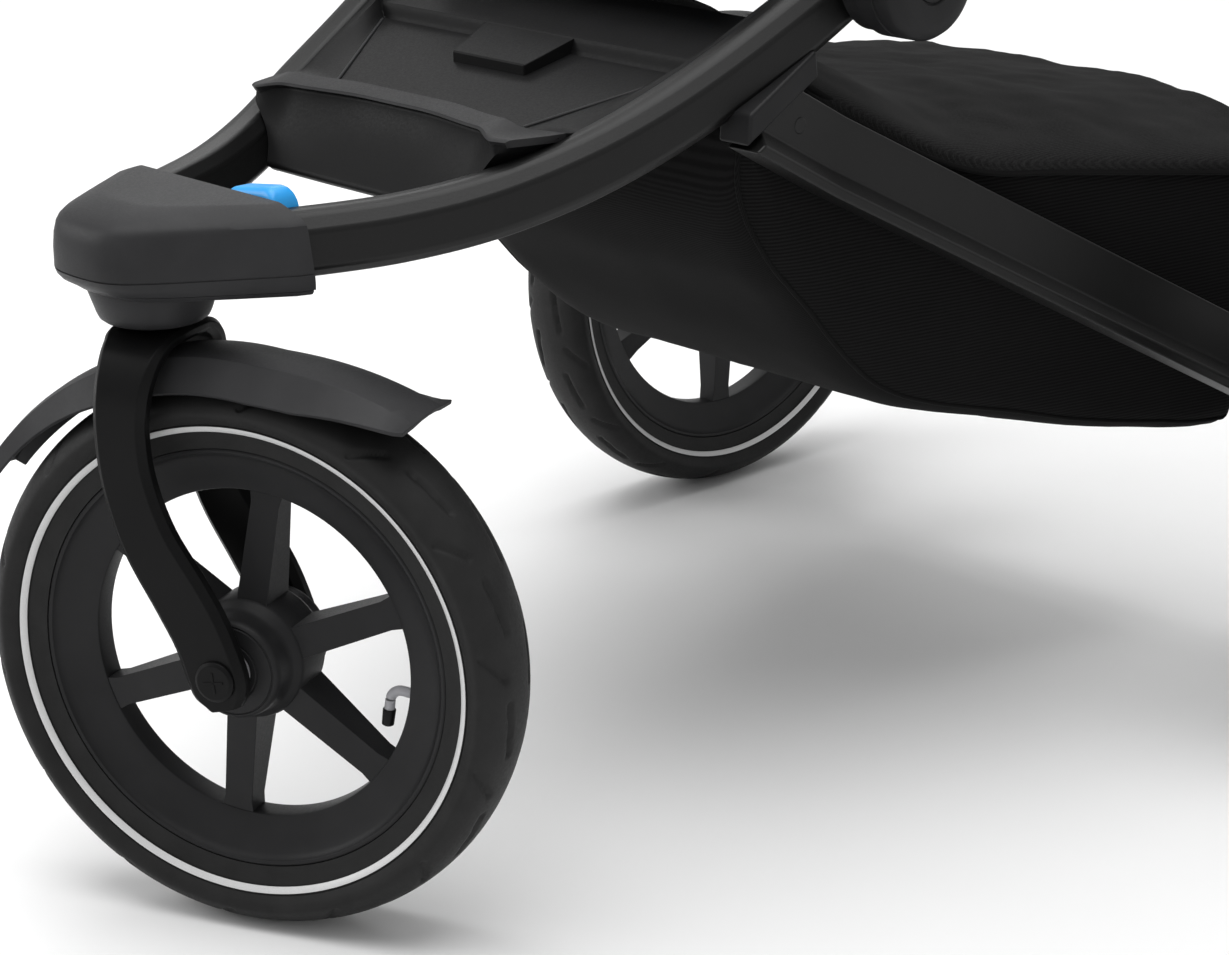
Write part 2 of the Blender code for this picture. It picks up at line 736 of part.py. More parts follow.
def build_fork():
    """One moulded fork: a broad bowed leg each side of the wheel, joined by a crown over it."""
    middle = FORK_INNER + FORK_THICK / 2
    half = FORK_WIDTH / 2
    leg = []
    for behind, above, share in FORK_LOW:
        leg.append((middle, TRAIL + behind, FRONT_RADIUS + above, half * share))
    for inward, behind, drop, share in FORK_HIGH:
        leg.append((middle - inward, behind, CROWN_Z - drop, half * share))
    path = leg + [(-x, y, z, width) for x, y, z, width in reversed(leg)]
    rings = []
    for i, (x, y, z, width) in enumerate(path):
        before, after = path[max(i - 1, 0)], path[min(i + 1, len(path) - 1)]
        ahead = (Vector(after[:3]) - Vector(before[:3])).normalized()
        broad = (Vector((0, 1, 0)) - ahead * ahead.y).normalized()
        thin = ahead.cross(broad)
        thick = CROWN_THICK if abs(x) < FORK_INNER else FORK_THICK
        section = rounded_rectangle(2 * width, thick, thick * FORK_CORNER, 1)
        rings.append([Vector((x, y, z)) + broad * u + thin * v for u, v in section])
    body = lofted("fork", rings, moulded, fork)
    axle_at = (0, TRAIL, FRONT_RADIUS)
    face = FORK_INNER + FORK_THICK + FIT
    axle_hole = rod("fork_axle_hole", AXLE_RADIUS + FIT, -2 * face, 2 * face, moulded, fork, axle_at)
    combine(body, "DIFFERENCE", axle_hole)
    low, high = CROWN_Z - 2 * CROWN_THICK, CROWN_Z + 2 * CROWN_THICK
    radius = STEM_RADIUS + FIT
    stem_hole = rod("fork_stem_hole", radius, low, high, moulded, fork, steps=BORE_STEPS, upright=True)
    combine(body, "DIFFERENCE", stem_hole)
    build_front_axle(axle_at, face)
    stem_low, stem_high = CROWN_Z - CROWN_THICK / 2, NOSE_HIGH - NOSE_ROOF - STEM_END_GAP
    rod("fork_stem", STEM_RADIUS, stem_low, stem_high, steel, fork, steps=BORE_STEPS, upright=True)


def build_front_axle(axle_at, face):
    """Axle with a bevelled head against each fork leg's outer face."""
    head = face + AXLE_HEAD
    half = [
        (0, head), (AXLE_HEAD_FACE, head), (AXLE_HEAD_RADIUS, head - AXLE_HEAD_EDGE),
        (AXLE_HEAD_RADIUS, face), (AXLE_RADIUS, face),
    ]
    profile = half + [(radius, -height) for radius, height in reversed(half)]
    turned("front_axle", profile, steel, fork, 16, axle_at, closed=False)


def fender_radius(angle):
    """Radius of the mudguard's top: nearest the tyre a little behind its crown, farther off at both tips."""
    if angle < FENDER_LOWEST:
        lift = FENDER_REAR_LIFT * ((FENDER_LOWEST - angle) / (FENDER_LOWEST - FENDER_REAR)) ** 1.5
    else:
        lift = FENDER_FRONT_LIFT * (angle - FENDER_LOWEST) / (FENDER_FRONT - FENDER_LOWEST)
    return FRONT_RADIUS + FENDER_GAP + lift


def build_fender():
    """Mudguard under the crown: a flat top strip, sides that slope out, and skirts that rise to both tips."""
    rows = []
    steps = 12
    for step in range(steps + 1):
        share = step / steps
        side_angle = FENDER_REAR + (FENDER_FRONT - FENDER_REAR) * share
        top_angle = FENDER_TOP_REAR + (FENDER_FRONT - FENDER_TOP_REAR) * share
        skirt_rear = FENDER_REAR_SKIRT + FENDER_REAR_GROWTH * share
        skirt_front = FENDER_FRONT_SKIRT + FENDER_FRONT_GROWTH * (1 - share)
        skirt = FENDER_SKIRT * min(1, skirt_rear, skirt_front)
        half = FENDER_HALF * (1 - max(0, share - FENDER_TAPER_START))
        side = place_on_circle(fender_radius(side_angle) - skirt, side_angle)
        edge = place_on_circle(fender_radius(top_angle) - FENDER_CROWN, top_angle)
        top = place_on_circle(fender_radius(top_angle), top_angle)
        row = ((half, side), (FENDER_TOP_HALF, edge), (0, top), (-FENDER_TOP_HALF, edge), (-half, side))
        rows.append([(across, TRAIL + y, FRONT_RADIUS + z) for across, (y, z) in row])
    fender = sheet("front_fender", rows, FENDER_WALL, moulded, fork, offset=-1.0)
    low, high = 2 * FRONT_RADIUS + 2 * FENDER_WALL, CROWN_Z - CROWN_THICK / 2 - FIT
    boss = rod("fender_boss", FENDER_BOSS_RADIUS, low, high, moulded, fork, upright=True)
    combine(fender, "UNION", boss)


def nose_ring(z, broad, long):
    """The nose's plan at a height, drawn in from its sides and from its front, with its rear edge kept."""
    side = [(x * broad, NOSE_REAR + (y - NOSE_REAR) * long, z) for x, y in NOSE_PLAN]
    return side + mirrored(side)[::-1]


def build_nose():
    """Nose housing that holds the front tubes and the stem, and the lower cover with the stem's collar."""
    rings = [nose_ring(NOSE_LOW + height, broad, long) for height, broad, long in NOSE_LEVELS]
    nose = lofted("nose_housing", rings, moulded, chassis)
    inner, outer, front = LEVER_INNER - RUN, LEVER_OUTER + RUN, LEVER_FRONT - RUN
    bay = [(inner, front), (outer, front), (outer, 2 * LEVER_REAR), (inner, 2 * LEVER_REAR)]
    for name, side in SIDES:
        combine(nose, "DIFFERENCE", front_tube("socket_" + name, side, FIT, moulded))
    cuts = (
        stem_bore("nose_hole", NOSE_LOW - NOSE_COVER, NOSE_HIGH - NOSE_ROOF),
        prism("lever_bay", bay, LEVER_LOW - FIT, 2 * NOSE_HIGH, "Z", moulded, chassis),
    )
    for cut in cuts:
        combine(nose, "DIFFERENCE", cut)
    cover_low, cover_high = NOSE_LOW - FIT - NOSE_COVER, NOSE_LOW - FIT
    cover_rings = [nose_ring(z, *shares) for z, shares in zip((cover_low, cover_high), NOSE_COVER_SHARES)]
    cover = lofted("nose_lower_cover", cover_rings, moulded, chassis)
    inside = cover_low + NOSE_COVER / 2
    collar_profile = [
        (0, inside), (COLLAR_HIGH_RADIUS, inside), (COLLAR_HIGH_RADIUS, cover_low),
        (COLLAR_LOW_RADIUS, COLLAR_LOW + COLLAR_FOOT), (COLLAR_FOOT_RADIUS, COLLAR_LOW), (0, COLLAR_LOW),
    ]
    collar = turned("collar", collar_profile, moulded, chassis, COLLAR_STEPS, upright=True, closed=False)
    combine(cover, "UNION", collar)
    combine(cover, "DIFFERENCE", stem_bore("cover_hole", CROWN_Z, NOSE_HIGH))
    build_lock_lever()


def stem_bore(name, low, high):
    """A cutter for the hole that the fork's stem turns in."""
    return rod(name, STEM_RADIUS + RUN, low, high, moulded, chassis, steps=BORE_STEPS, upright=True)


def build_lock_lever():
    """Swivel-lock lever in the nose's bay: it turns about its round front end and overhangs the rear edge."""
    half = LEVER_THICK / 2
    profile = arc(half, 1.5 * pi, 0.5 * pi, 6, (LEVER_FRONT + half, LEVER_LOW + half))
    profile += [
        (LEVER_REAR - half, LEVER_LOW + LEVER_THICK), (LEVER_REAR, LEVER_LOW + half),
        (LEVER_REAR, LEVER_LOW - half), (LEVER_REAR - half, LEVER_LOW - half), (NOSE_REAR + half, LEVER_LOW),
    ]
    prism("swivel_lock_lever", profile, LEVER_INNER, LEVER_OUTER, "X", blue, lock_lever)


# Tubes, hubs, legs and handlebar


def front_tube(name, side, grow, material):
    """A front tube, or one that much larger all round and at its front end."""
    outline = rounded_rectangle(TUBE_WIDE + 2 * grow, TUBE_HIGH + 2 * grow, TUBE_CORNER + grow)
    route = smooth_route(FRONT_TUBE_ROUTE, ROUTE_STEPS)
    route[0] += (route[0] - route[1]).normalized() * grow
    return swept(name, on_side(route, side), outline, material, chassis)


def build_front_tubes():
    for name, side in SIDES:
        front_tube("front_tube_" + name, side, 0, paint)


def build_fold_hubs():
    """Fold hub each side: a base with its pin on the front tube, and a round cover on the upper tube."""
    base_end, pin_end = COVER_FACE - RUN, HUB_END - FOLD_CAP
    bore, bore_end = FOLD_PIN + RUN / 2, pin_end + RUN
    base = [
        (0, pin_end), (FOLD_PIN, pin_end), (FOLD_PIN, base_end), (FOLD_BASE_RADIUS, base_end),
        (FOLD_BASE_RADIUS, HUB_FACE), (0, HUB_FACE),
    ]
    cover = [
        (0, HUB_END), (FOLD_RADIUS - FOLD_EDGE, HUB_END), (FOLD_RADIUS, HUB_END - FOLD_EDGE),
        (FOLD_RADIUS, COVER_FACE), (bore, COVER_FACE), (bore, bore_end), (0, bore_end),
    ]
    for name, side in SIDES:
        for node, profile, pivot in (("hub_base_", base, chassis), ("hub_cover_", cover, upper_frame)):
            if side < 0:
                profile = [(radius, -height) for radius, height in reversed(profile)]
            turned(node + name, profile, moulded, pivot, FOLD_STEPS, (0, HUB_Y, HUB_Z), closed=False)


def build_upper_frame():
    """Upper tubes from the fold hubs to the handle pivots, and the turning handlebar with its grip."""
    for name, side in SIDES:
        x = side * UPPER_X
        ends = [upper_point(x, FOLD_RADIUS + FIT), upper_point(x, UPPER_LENGTH - PIVOT_RADIUS - FIT)]
        tube("upper_tube_" + name, ends, UPPER_RADIUS, paint, upper_frame, 3)
        low, high = x - PIVOT_WIDE / 2, x + PIVOT_WIDE / 2
        at = upper_point(0, UPPER_LENGTH)
        rod("handle_pivot_" + name, PIVOT_RADIUS, low, high, moulded, upper_frame, at, PIVOT_STEPS)
    inner = UPPER_X - HANDLE_CORNER
    turn = arc(HANDLE_CORNER, 0, pi / 2, 4, (inner, HANDLE_LENGTH - HANDLE_CORNER))
    route = [handle_point(x, along) for x, along in [(UPPER_X, PIVOT_RADIUS + FIT)] + turn]
    tube("handlebar", route + mirrored(route)[::-1], HANDLE_RADIUS, paint, handle, 2)
    half = inner - GRIP_END_GAP
    rod("handlebar_grip", GRIP_RADIUS, -half, half, foam, handle, handle_point(0, HANDLE_LENGTH), 20,
        bore=HANDLE_RADIUS + FIT)


def leg_ring(share):
    """Points across a leg: an upright web over a flange, with its top end cut along the front tube."""
    web, high, low = LEG_WEB / 2, LEG_ABOVE, -LEG_BELOW
    section = [
        (high, -web), (high, web), (low + LEG_FLANGE_ROOT, web), (low + LEG_FLANGE_EDGE, web + LEG_FLANGE),
        (low, web + LEG_FLANGE), (low, -web),
    ]
    ring = []
    for rise, out in section:
        along = share if share else (rise / tan(LEG_SLANT) - LEG_END_GAP / sin(LEG_SLANT)) / LEG_LENGTH
        ring.append(tuple(leg_point(along, rise, out)))
    return ring


def build_rear_frame():
    """Rear legs, their brackets on the front tubes, the axle tube between them and its end brackets."""
    axle_at = (0, AXLE_Y, REAR_RADIUS)
    pivot_at = (0, LEG_PIVOT_Y, LEG_PIVOT_Z)
    for name, side in SIDES:
        rings = [on_side(leg_ring(share), side) for share in (0, LEG_STRAIGHT, LEG_SHARE)]
        leg = lofted("rear_leg_" + name, rings, paint, rear_frame)
        eye = rod("leg_eye_" + name, LEG_PIN + RUN / 2, -2 * LEG_X, 2 * LEG_X, paint, rear_frame, pivot_at)
        combine(leg, "DIFFERENCE", eye)
        build_leg_bracket(name, side)
        build_axle_bracket(name, side)
    end = LEG_END_X - AXLE_BRACKET / 2 - FIT
    rod("rear_axle_tube", AXLE_TUBE_RADIUS, -end, end, paint, rear_frame, axle_at, BORE_STEPS,
        bore=AXLE_TUBE_RADIUS - AXLE_TUBE_WALL)
    tip = TRACK_HALF + HUB_HALF - BUTTON_LONG - BUTTON_PROUD
    rod("rear_axle", AXLE_RADIUS, -tip, tip, steel, rear_frame, axle_at)


def build_leg_bracket(name, side):
    """Clevis saddled under the front tube, with the leg's pivot pin across it."""
    slot = LEG_WEB / 2 + RUN
    corner = LEG_ABOVE / tan(LEG_SLANT) - LEG_END_GAP / sin(LEG_SLANT)
    sweep = hypot(corner, LEG_ABOVE) + RUN

    def place(along, up):
        y = along * cos(TUBE_SLOPE) - up * sin(TUBE_SLOPE)
        z = along * sin(TUBE_SLOPE) + up * cos(TUBE_SLOPE)
        return LEG_PIVOT_Y + y, LEG_PIVOT_Z + z

    roof = sweep + SADDLE_RISE
    outline = [place(*point) for point in arc(CHEEK_RADIUS, pi, 2 * pi, 6)]
    outline += [place(CHEEK_RADIUS, sweep), place(SADDLE_HALF, sweep), place(SADDLE_HALF, roof)]
    outline += [place(-SADDLE_HALF, roof), place(-SADDLE_HALF, sweep), place(-CHEEK_RADIUS, sweep)]
    near, far = side * (LEG_X - slot - CHEEK), side * (LEG_X + slot + CHEEK)
    bracket = prism("leg_bracket_" + name, outline, near, far, "X", moulded, chassis)
    reach = 2 * SADDLE_HALF
    gap = [place(*point) for point in ((-reach, -reach), (reach, -reach), (reach, sweep), (-reach, sweep))]
    slot_near, slot_far = side * (LEG_X - slot), side * (LEG_X + slot)
    combine(bracket, "DIFFERENCE", prism("leg_slot_" + name, gap, slot_near, slot_far, "X", moulded, chassis))
    combine(bracket, "DIFFERENCE", front_tube("saddle_" + name, side, FIT, moulded))
    pin = rod("leg_pin_" + name, LEG_PIN, near, far, moulded, chassis, (0, LEG_PIVOT_Y, LEG_PIVOT_Z))
    combine(bracket, "UNION", pin)


def build_axle_bracket(name, side):
    """Block that joins a leg's end to the axle tube, bored for the axle and the brake pin."""
    end = leg_point(LEG_SHARE)
    ahead = Vector((AXLE_Y - end.y, REAR_RADIUS - end.z))
    distance = ahead.length
    ahead.normalize()
    across = Vector((-ahead.y, ahead.x))
    centre = Vector((AXLE_Y, REAR_RADIUS))
    face = centre - ahead * (distance - FIT)
    to_leg = Vector((1, 0)).angle_signed(-ahead) * -1
    outline = arc(BRAKE_PIN_AT + AXLE_BRACKET_EDGE, to_leg + radians(60), to_leg + radians(300), 12, centre)
    outline += [tuple(face + across * LEG_ABOVE), tuple(face - across * LEG_BELOW)]
    low, high = side * (LEG_END_X - AXLE_BRACKET / 2), side * (LEG_END_X + AXLE_BRACKET / 2)
    block = prism("axle_bracket_" + name, outline, low, high, "X", moulded, rear_frame)
    reach = 2 * LEG_END_X
    bores = ((AXLE_RADIUS + FIT, 0), (BRAKE_PIN_RADIUS + RUN / 2, BRAKE_PIN_AT))
    for number, (radius, above) in enumerate(bores):
        at = (0, AXLE_Y, REAR_RADIUS + above)
        bore = rod(f"axle_bore_{name}_{number}", radius, -reach, reach, moulded, rear_frame, at)
        combine(block, "DIFFERENCE", bore)


def build_brake():
    """Foot pedal on the axle tube, and a pin each side that it pushes into the wheel's notched ring."""
    sleeve_lever("brake_pedal", AXLE_TUBE_RADIUS, (AXLE_Y, REAR_RADIUS), PEDAL_X, PEDAL_WIDE, PEDAL_LONG,
                 PEDAL_ANGLE, moulded, brake_pedal)
    start = LEG_END_X - AXLE_BRACKET / 2
    end = TRACK_HALF - HUB_HALF - RUN
    for (name, side), pivot in zip(SIDES, brake_pins):
        rod("brake_pin_" + name, BRAKE_PIN_RADIUS, side * start, side * end, steel, pivot,
            (0, AXLE_Y, REAR_RADIUS + BRAKE_PIN_AT), 12)


def sleeve_lever(name, shaft, at, x, wide, long, angle, material, pivot):
    """A lever on a sleeve about a shaft along X, reaching rearward at an angle."""
    bore, outside = shaft + FIT, shaft + SLEEVE_WALL
    lever = rod(name, outside, x - wide / 2, x + wide / 2, material, pivot, (0, *at), 20, bore=bore)
    root, half = (bore + outside) / 2, PEDAL_THICK / 2
    outline = []
    for along, across in ((root, -half), (long, -half), (long, half), (root, half)):
        y, z = along * cos(angle) - across * sin(angle), along * sin(angle) + across * cos(angle)
        outline.append((at[0] + y, at[1] + z))
    reach = wide / 2 - PLATE_INSET
    combine(lever, "UNION", prism(name + "_plate", outline, x - reach, x + reach, "X", material, pivot))


# Footrest and soft goods


def build_footrest():
    """Moulded panel between the front tubes: an apron, a rolled lip and a deck that rises to the seat."""
    profile = [(-FOOT_APRON_AHEAD, -FOOT_APRON), (-FOOT_ROLL_AHEAD, -FOOT_ROLL), (0, 0)]
    profile += [(row, FOOT_DECK_STEP + row * tan(FOOT_SLOPE)) for row in FOOT_DECK_ROWS]
    rows = []
    for behind, above in profile:
        y, z = FOOT_LIP_Y + behind, FOOT_LIP_Z + above
        half = between_tubes(y - FOOT_WALL / 2) - FOOT_SIDE_GAP
        rows.append([(half * share, y, z) for share in (-1, -0.5, 0, 0.5, 1)])
    sheet("footrest", rows, FOOT_WALL, moulded, chassis)


def pad_height(across, share, thick):
    """Height of a padded face: crowned, drawn down to its edges and pressed in along its sewn channels."""
    crown = (1 - abs(across) ** 3) * (1 - abs(2 * share - 1) ** 6)
    sewn = CHANNEL_MARGIN < share < 1 - CHANNEL_MARGIN
    channel = max(0.0, cos(pi * share * (CHANNELS + 1))) ** CHANNEL_SHARPNESS if sewn else 0.0
    height = PAD_EDGE + (1 - PAD_EDGE) * max(crown, 0.0) ** 0.5
    return thick * height - CHANNEL_DEPTH * channel * (1 - across**4)


def build_pad(name, half, thick, place, material, pivot):
    """A cushion whose place function maps a sideways step, a share of its length and a height to a point."""
    rings = []
    steps = 20
    for step in range(steps + 1):
        share = step / steps
        width = half * (1 - PAD_WAIST * (1 - (2 * share - 1) ** 2))
        crosswise = [-1, -0.85, -0.6, -0.3, 0, 0.3, 0.6, 0.85, 1]
        top = [place(width * u, share, pad_height(u, share, thick)) for u in crosswise]
        foot = [place(width * u * PAD_FOOT, share, 0.0) for u in (1, 0.4, -0.4, -1)]
        rings.append(top + foot)
    return lofted(name, rings, material, pivot)


def seat_point(x, share, height):
    """A point on the seat: its foot drops in front of the cross tube, where the cushion turns down."""
    y = SEAT_FRONT_Y + share * (SEAT_REAR_Y - SEAT_FRONT_Y)
    ahead = max(0.0, (SEAT_TURN_Y - y) / (SEAT_TURN_Y - SEAT_FRONT_Y))
    rest = CROSS_TUBE_Z + CROSS_TUBE_RADIUS + SLEEVE_WALL + FIT
    return x, y, rest - SEAT_DROP * ahead**2 + height


def back_pad_point(x, share, height):
    return back_point(x, share * BACK_LENGTH, height)


def build_seat():
    """Cushion, its cross tube with the fold release, the reclining back on its frame, and the harness."""
    half = between_tubes(CROSS_TUBE_Y - CROSS_TUBE_RADIUS) - FIT
    rod("seat_cross_tube", CROSS_TUBE_RADIUS, -half, half, paint, chassis, (0, CROSS_TUBE_Y, CROSS_TUBE_Z))
    sleeve_lever("fold_release_lever", CROSS_TUBE_RADIUS, (CROSS_TUBE_Y, CROSS_TUBE_Z), 0, PADDLE_WIDE,
                 PADDLE_LONG, PADDLE_ANGLE, blue, fold_release)
    build_pad("seat_cushion", SEAT_HALF, SEAT_THICK, seat_point, fabric, chassis)
    build_pad("seat_back", BACK_HALF, BACK_THICK, back_pad_point, fabric, seat_back)
    build_back_frame()
    for name, side in SIDES:
        rows = []
        steps = 8
        for step in range(steps + 1):
            share = STRAP_START + (STRAP_END - STRAP_START) * step / steps
            row = []
            for x in (STRAP_X - STRAP_WIDE / 2, STRAP_X, STRAP_X + STRAP_WIDE / 2):
                height = pad_height(x / BACK_HALF, 0.5, BACK_THICK) + STRAP_GAP + STRAP_THICK / 2
                row.append(back_pad_point(side * x, share, height))
            rows.append(row)
        sheet("shoulder_strap_" + name, rows, STRAP_THICK, webbing, seat_back)
    build_buckle()


def build_back_frame():
    """Bent tube that pivots on the upper tubes, runs behind the pad and crosses near its top."""
    behind = -BACK_FRAME_RADIUS - FIT
    _, pivot_y, pivot_z = upper_point(0, BACK_PIVOT_ALONG)
    x, turn = BACK_FRAME_HALF, BACK_FRAME_TURN
    tube_face = UPPER_X - UPPER_RADIUS - FIT
    low = Vector(back_point(x, BACK_FRAME_JOIN, behind))
    pivot = Vector((x, pivot_y, pivot_z))
    rearward = (low - pivot).normalized()
    left = [Vector((tube_face, pivot_y, pivot_z)), Vector((x + turn / 2, pivot_y, pivot_z))]
    left += [pivot + rearward * turn / 2, low - rearward * turn]
    left += [Vector(back_point(x, BACK_FRAME_JOIN + turn, behind))]
    for t in (0, pi / 4, pi / 2):
        left.append(Vector(back_point(x - turn * (1 - cos(t)), BACK_FRAME_TOP - turn * (1 - sin(t)), behind)))
    left = [tuple(point) for point in left]
    tube("seat_back_frame", left + mirrored(left)[::-1], BACK_FRAME_RADIUS, paint, seat_back, 2)


def build_buckle():
    """Harness buckle on the cushion's crown, with its press button."""
    share = (BUCKLE_Y - SEAT_FRONT_Y) / (SEAT_REAR_Y - SEAT_FRONT_Y)
    floor = seat_point(0, 0.5, SEAT_THICK)[2] + FIT
    floor = max(floor, seat_point(0, share, SEAT_THICK)[2] + FIT)
    outline = [(x, BUCKLE_Y + y) for x, y in rounded_rectangle(BUCKLE_WIDE, BUCKLE_LONG, BUCKLE_CORNER)]
    buckle = prism("harness_buckle", outline, floor, floor + BUCKLE_HIGH, "Z", moulded, chassis)
    top = floor + BUCKLE_HIGH
    at = (0, BUCKLE_Y, 0)
    low, high = top - BUCKLE_BUTTON_HIGH, top + BUCKLE_BUTTON_HIGH
    radius = BUCKLE_BUTTON_RADIUS
    recess = rod("button_recess", radius + RUN, low, high, moulded, chassis, at, BORE_STEPS, upright=True)
    combine(buckle, "DIFFERENCE", recess)
    high = top + BUCKLE_BUTTON_PROUD
    low = high - BUCKLE_BUTTON_HIGH
    rod("buckle_button", radius, low, high, moulded, buckle_button, at, BORE_STEPS, upright=True)


def build_canopy():
    """Three panels that nest inside one another and turn on discs about one axis across the upper tubes."""
    step = CANOPY_WALL + RUN
    outer_half = UPPER_X - UPPER_RADIUS - RUN
    spread = CANOPY_PANEL - CANOPY_LAP
    panels = (
        ("canopy_rear", 0, CANOPY_START, upper_frame),
        ("canopy_mid", 1, CANOPY_START + spread, canopy_mid),
        ("canopy_visor", 2, CANOPY_START + spread, canopy_visor),
    )
    axis_at = upper_point(0, CANOPY_ALONG)
    _, axis_y, axis_z = axis_at
    for name, nest, start, pivot in panels:
        half, radius = outer_half - nest * step, CANOPY_RADIUS - nest * step
        bow = [(half, CANOPY_ROOT)]
        for t in CANOPY_BOW_ANGLES:
            rise = (radius - CANOPY_ROOT) * sin(t) ** CANOPY_TOP_POWER
            bow.append((half * cos(t) ** CANOPY_SIDE_POWER, CANOPY_ROOT + rise))
        bow += [(0, radius)]
        bow += mirrored(bow[:-1])[::-1]
        rows = []
        steps = 6
        for i in range(steps + 1):
            angle = start + CANOPY_PANEL * i / steps
            rows.append([(x, axis_y + r * cos(angle), axis_z + r * sin(angle)) for x, r in bow])
        panel = sheet(name, rows, CANOPY_WALL, fabric, pivot, offset=-1.0)
        for side_name, side in SIDES:
            inner, outer = side * (half - 0.8 * CANOPY_WALL), side * (half + FIT)
            disc_name = name + "_disc_" + side_name
            disc = rod(disc_name, CANOPY_DISC, inner, outer, moulded, pivot, axis_at, BORE_STEPS)
            combine(panel, "UNION", disc)


def basket_stations():
    """The basket's sections with their heights above the ground."""
    for datum, sections in ((LEG_PIVOT_Z, BASKET_FRONT), (REAR_RADIUS, BASKET_REAR)):
        for y, top_half, top, foot_half, foot in sections:
            yield y, top_half, LEG_PIVOT_Z + top, foot_half, datum + foot


def build_basket():
    """Open tub of cloth under the seat, hung from the leg brackets, and the tented cover over its rear."""
    rows = []
    for y, top_half, top, foot_half, foot in basket_stations():
        rise = min(BASKET_CORNER, (top - foot) * BASKET_CORNER_SHARE)
        sag = BASKET_SAG if foot < REAR_RADIUS else 0.0
        half = [(top_half, top), ((top_half + foot_half) / 2, (top + foot) / 2), (foot_half, foot + rise),
                (foot_half - rise, foot)]
        section = half + [(0, foot - sag)] + mirrored(half)[::-1]
        rows.append([(x, y, z) for x, z in section])
    sheet("basket", rows, BASKET_WALL, fabric, chassis, offset=-1.0)
    rows = []
    for y, half, top, _, _ in basket_stations():
        if y < COVER_FRONT:
            continue
        rest = top + COVER_WALL / 2 + COVER_GAP
        edge = half - COVER_WALL
        rows.append([(edge * u / 4, y, rest + COVER_CROWN * (1 - (u / 4) ** 4)) for u in range(-4, 5)])
    sheet("basket_cover", rows, COVER_WALL, heather, chassis)


def stand_midway():
    """Move the whole stroller along Y so that its middle stands over the origin."""
    bpy.context.view_layer.update()
    depsgraph = bpy.context.evaluated_depsgraph_get()
    reach = []
    for obj in parts.objects:
        if obj.type != "EMPTY":
            evaluated = obj.evaluated_get(depsgraph)
            mesh = evaluated.to_mesh()
            reach += [(obj.matrix_world @ vertex.co).y for vertex in mesh.vertices]
            evaluated.to_mesh_clear()
    chassis.location.y = -(min(reach) + max(reach)) / 2


# The model


for old in list(bpy.data.objects):
    bpy.data.objects.remove(old, do_unlink=True)
parts = new_collection("jogging_stroller")
cutters = new_collection("cutters")

moulded = new_material("moulded_plastic", (0.022, 0.022, 0.023), 0.48)
paint = new_material("frame_paint", (0.014, 0.014, 0.015), 0.42, 0.3)
rubber = new_material("rubber", (0.016, 0.016, 0.017), 0.72)
steel = new_material("steel", (0.62, 0.62, 0.63), 0.28, 1.0)
blue = new_material("blue_plastic", (0.010, 0.21, 0.72), 0.38)
foam = new_material("foam_grip", (0.020, 0.020, 0.021), 0.85)
fabric = new_material("black_fabric", (0.012, 0.012, 0.013), 0.92)
heather = new_material("heather_fabric", (0.055, 0.055, 0.058), 0.95)
webbing = new_material("webbing", (0.018, 0.018, 0.020), 0.80)

chassis = new_pivot("chassis", None, (0, 0, 0))
fork = new_pivot("fork_swivel", chassis, (0, 0, 0), STEER_REST)
front_wheel = new_pivot("front_wheel_axis", fork, (0, TRAIL, FRONT_RADIUS))
lever_at = (0, LEVER_FRONT + LEVER_THICK / 2, LEVER_LOW + LEVER_THICK / 2)
lock_lever = new_pivot("lock_lever_axis", chassis, lever_at)
upper_frame = new_pivot("fold_axis", chassis, (0, HUB_Y, HUB_Z))
handle = new_pivot("handle_axis", upper_frame, upper_point(0, UPPER_LENGTH))
canopy_mid = new_pivot("canopy_axis", upper_frame, upper_point(0, CANOPY_ALONG))
canopy_visor = new_pivot("visor_axis", canopy_mid, upper_point(0, CANOPY_ALONG))
seat_back = new_pivot("recline_axis", upper_frame, upper_point(0, BACK_PIVOT_ALONG))
rear_frame = new_pivot("leg_axis", chassis, (0, LEG_PIVOT_Y, LEG_PIVOT_Z))
brake_pedal = new_pivot("pedal_axis", rear_frame, (0, AXLE_Y, REAR_RADIUS))
brake_pins = []
for side_name, side_sign in SIDES:
    pin_at = (side_sign * LEG_END_X, AXLE_Y, REAR_RADIUS + BRAKE_PIN_AT)
    brake_pins.append(new_pivot("brake_pin_axis_" + side_name, rear_frame, pin_at))
fold_release = new_pivot("fold_release_axis", chassis, (0, CROSS_TUBE_Y, CROSS_TUBE_Z))
buckle_button = new_pivot("buckle_button_axis", chassis, (0, BUCKLE_Y, CROSS_TUBE_Z))

build_front_wheel()
build_fork()
build_fender()
build_nose()
build_front_tubes()
build_fold_hubs()
build_upper_frame()
build_rear_frame()
build_brake()
for side_name, side_sign in SIDES:
    wheel_at = (side_sign * TRACK_HALF, AXLE_Y, REAR_RADIUS)
    wheel = new_pivot("rear_wheel_axis_" + side_name, rear_frame, wheel_at)
    press = new_pivot("release_axis_" + side_name, wheel, wheel_at)
    build_rear_wheel(side_name, side_sign, wheel, press)
build_footrest()
build_seat()
build_canopy()
build_basket()
stand_midway()
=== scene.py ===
"""Finish and surface detail for the jogging stroller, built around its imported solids.

Metres, +Z up. Most pieces are drawn in stem coordinates, whose origin is where the front wheel's
swivel axis meets the ground. Wheels are drawn about their own centre, with the axle along X.
"""
import json
from math import atan2, cos, pi, radians, sin, tan

import bmesh
import bpy
import numpy as np
from mathutils import Matrix, Vector, noise
from mathutils.bvhtree import BVHTree


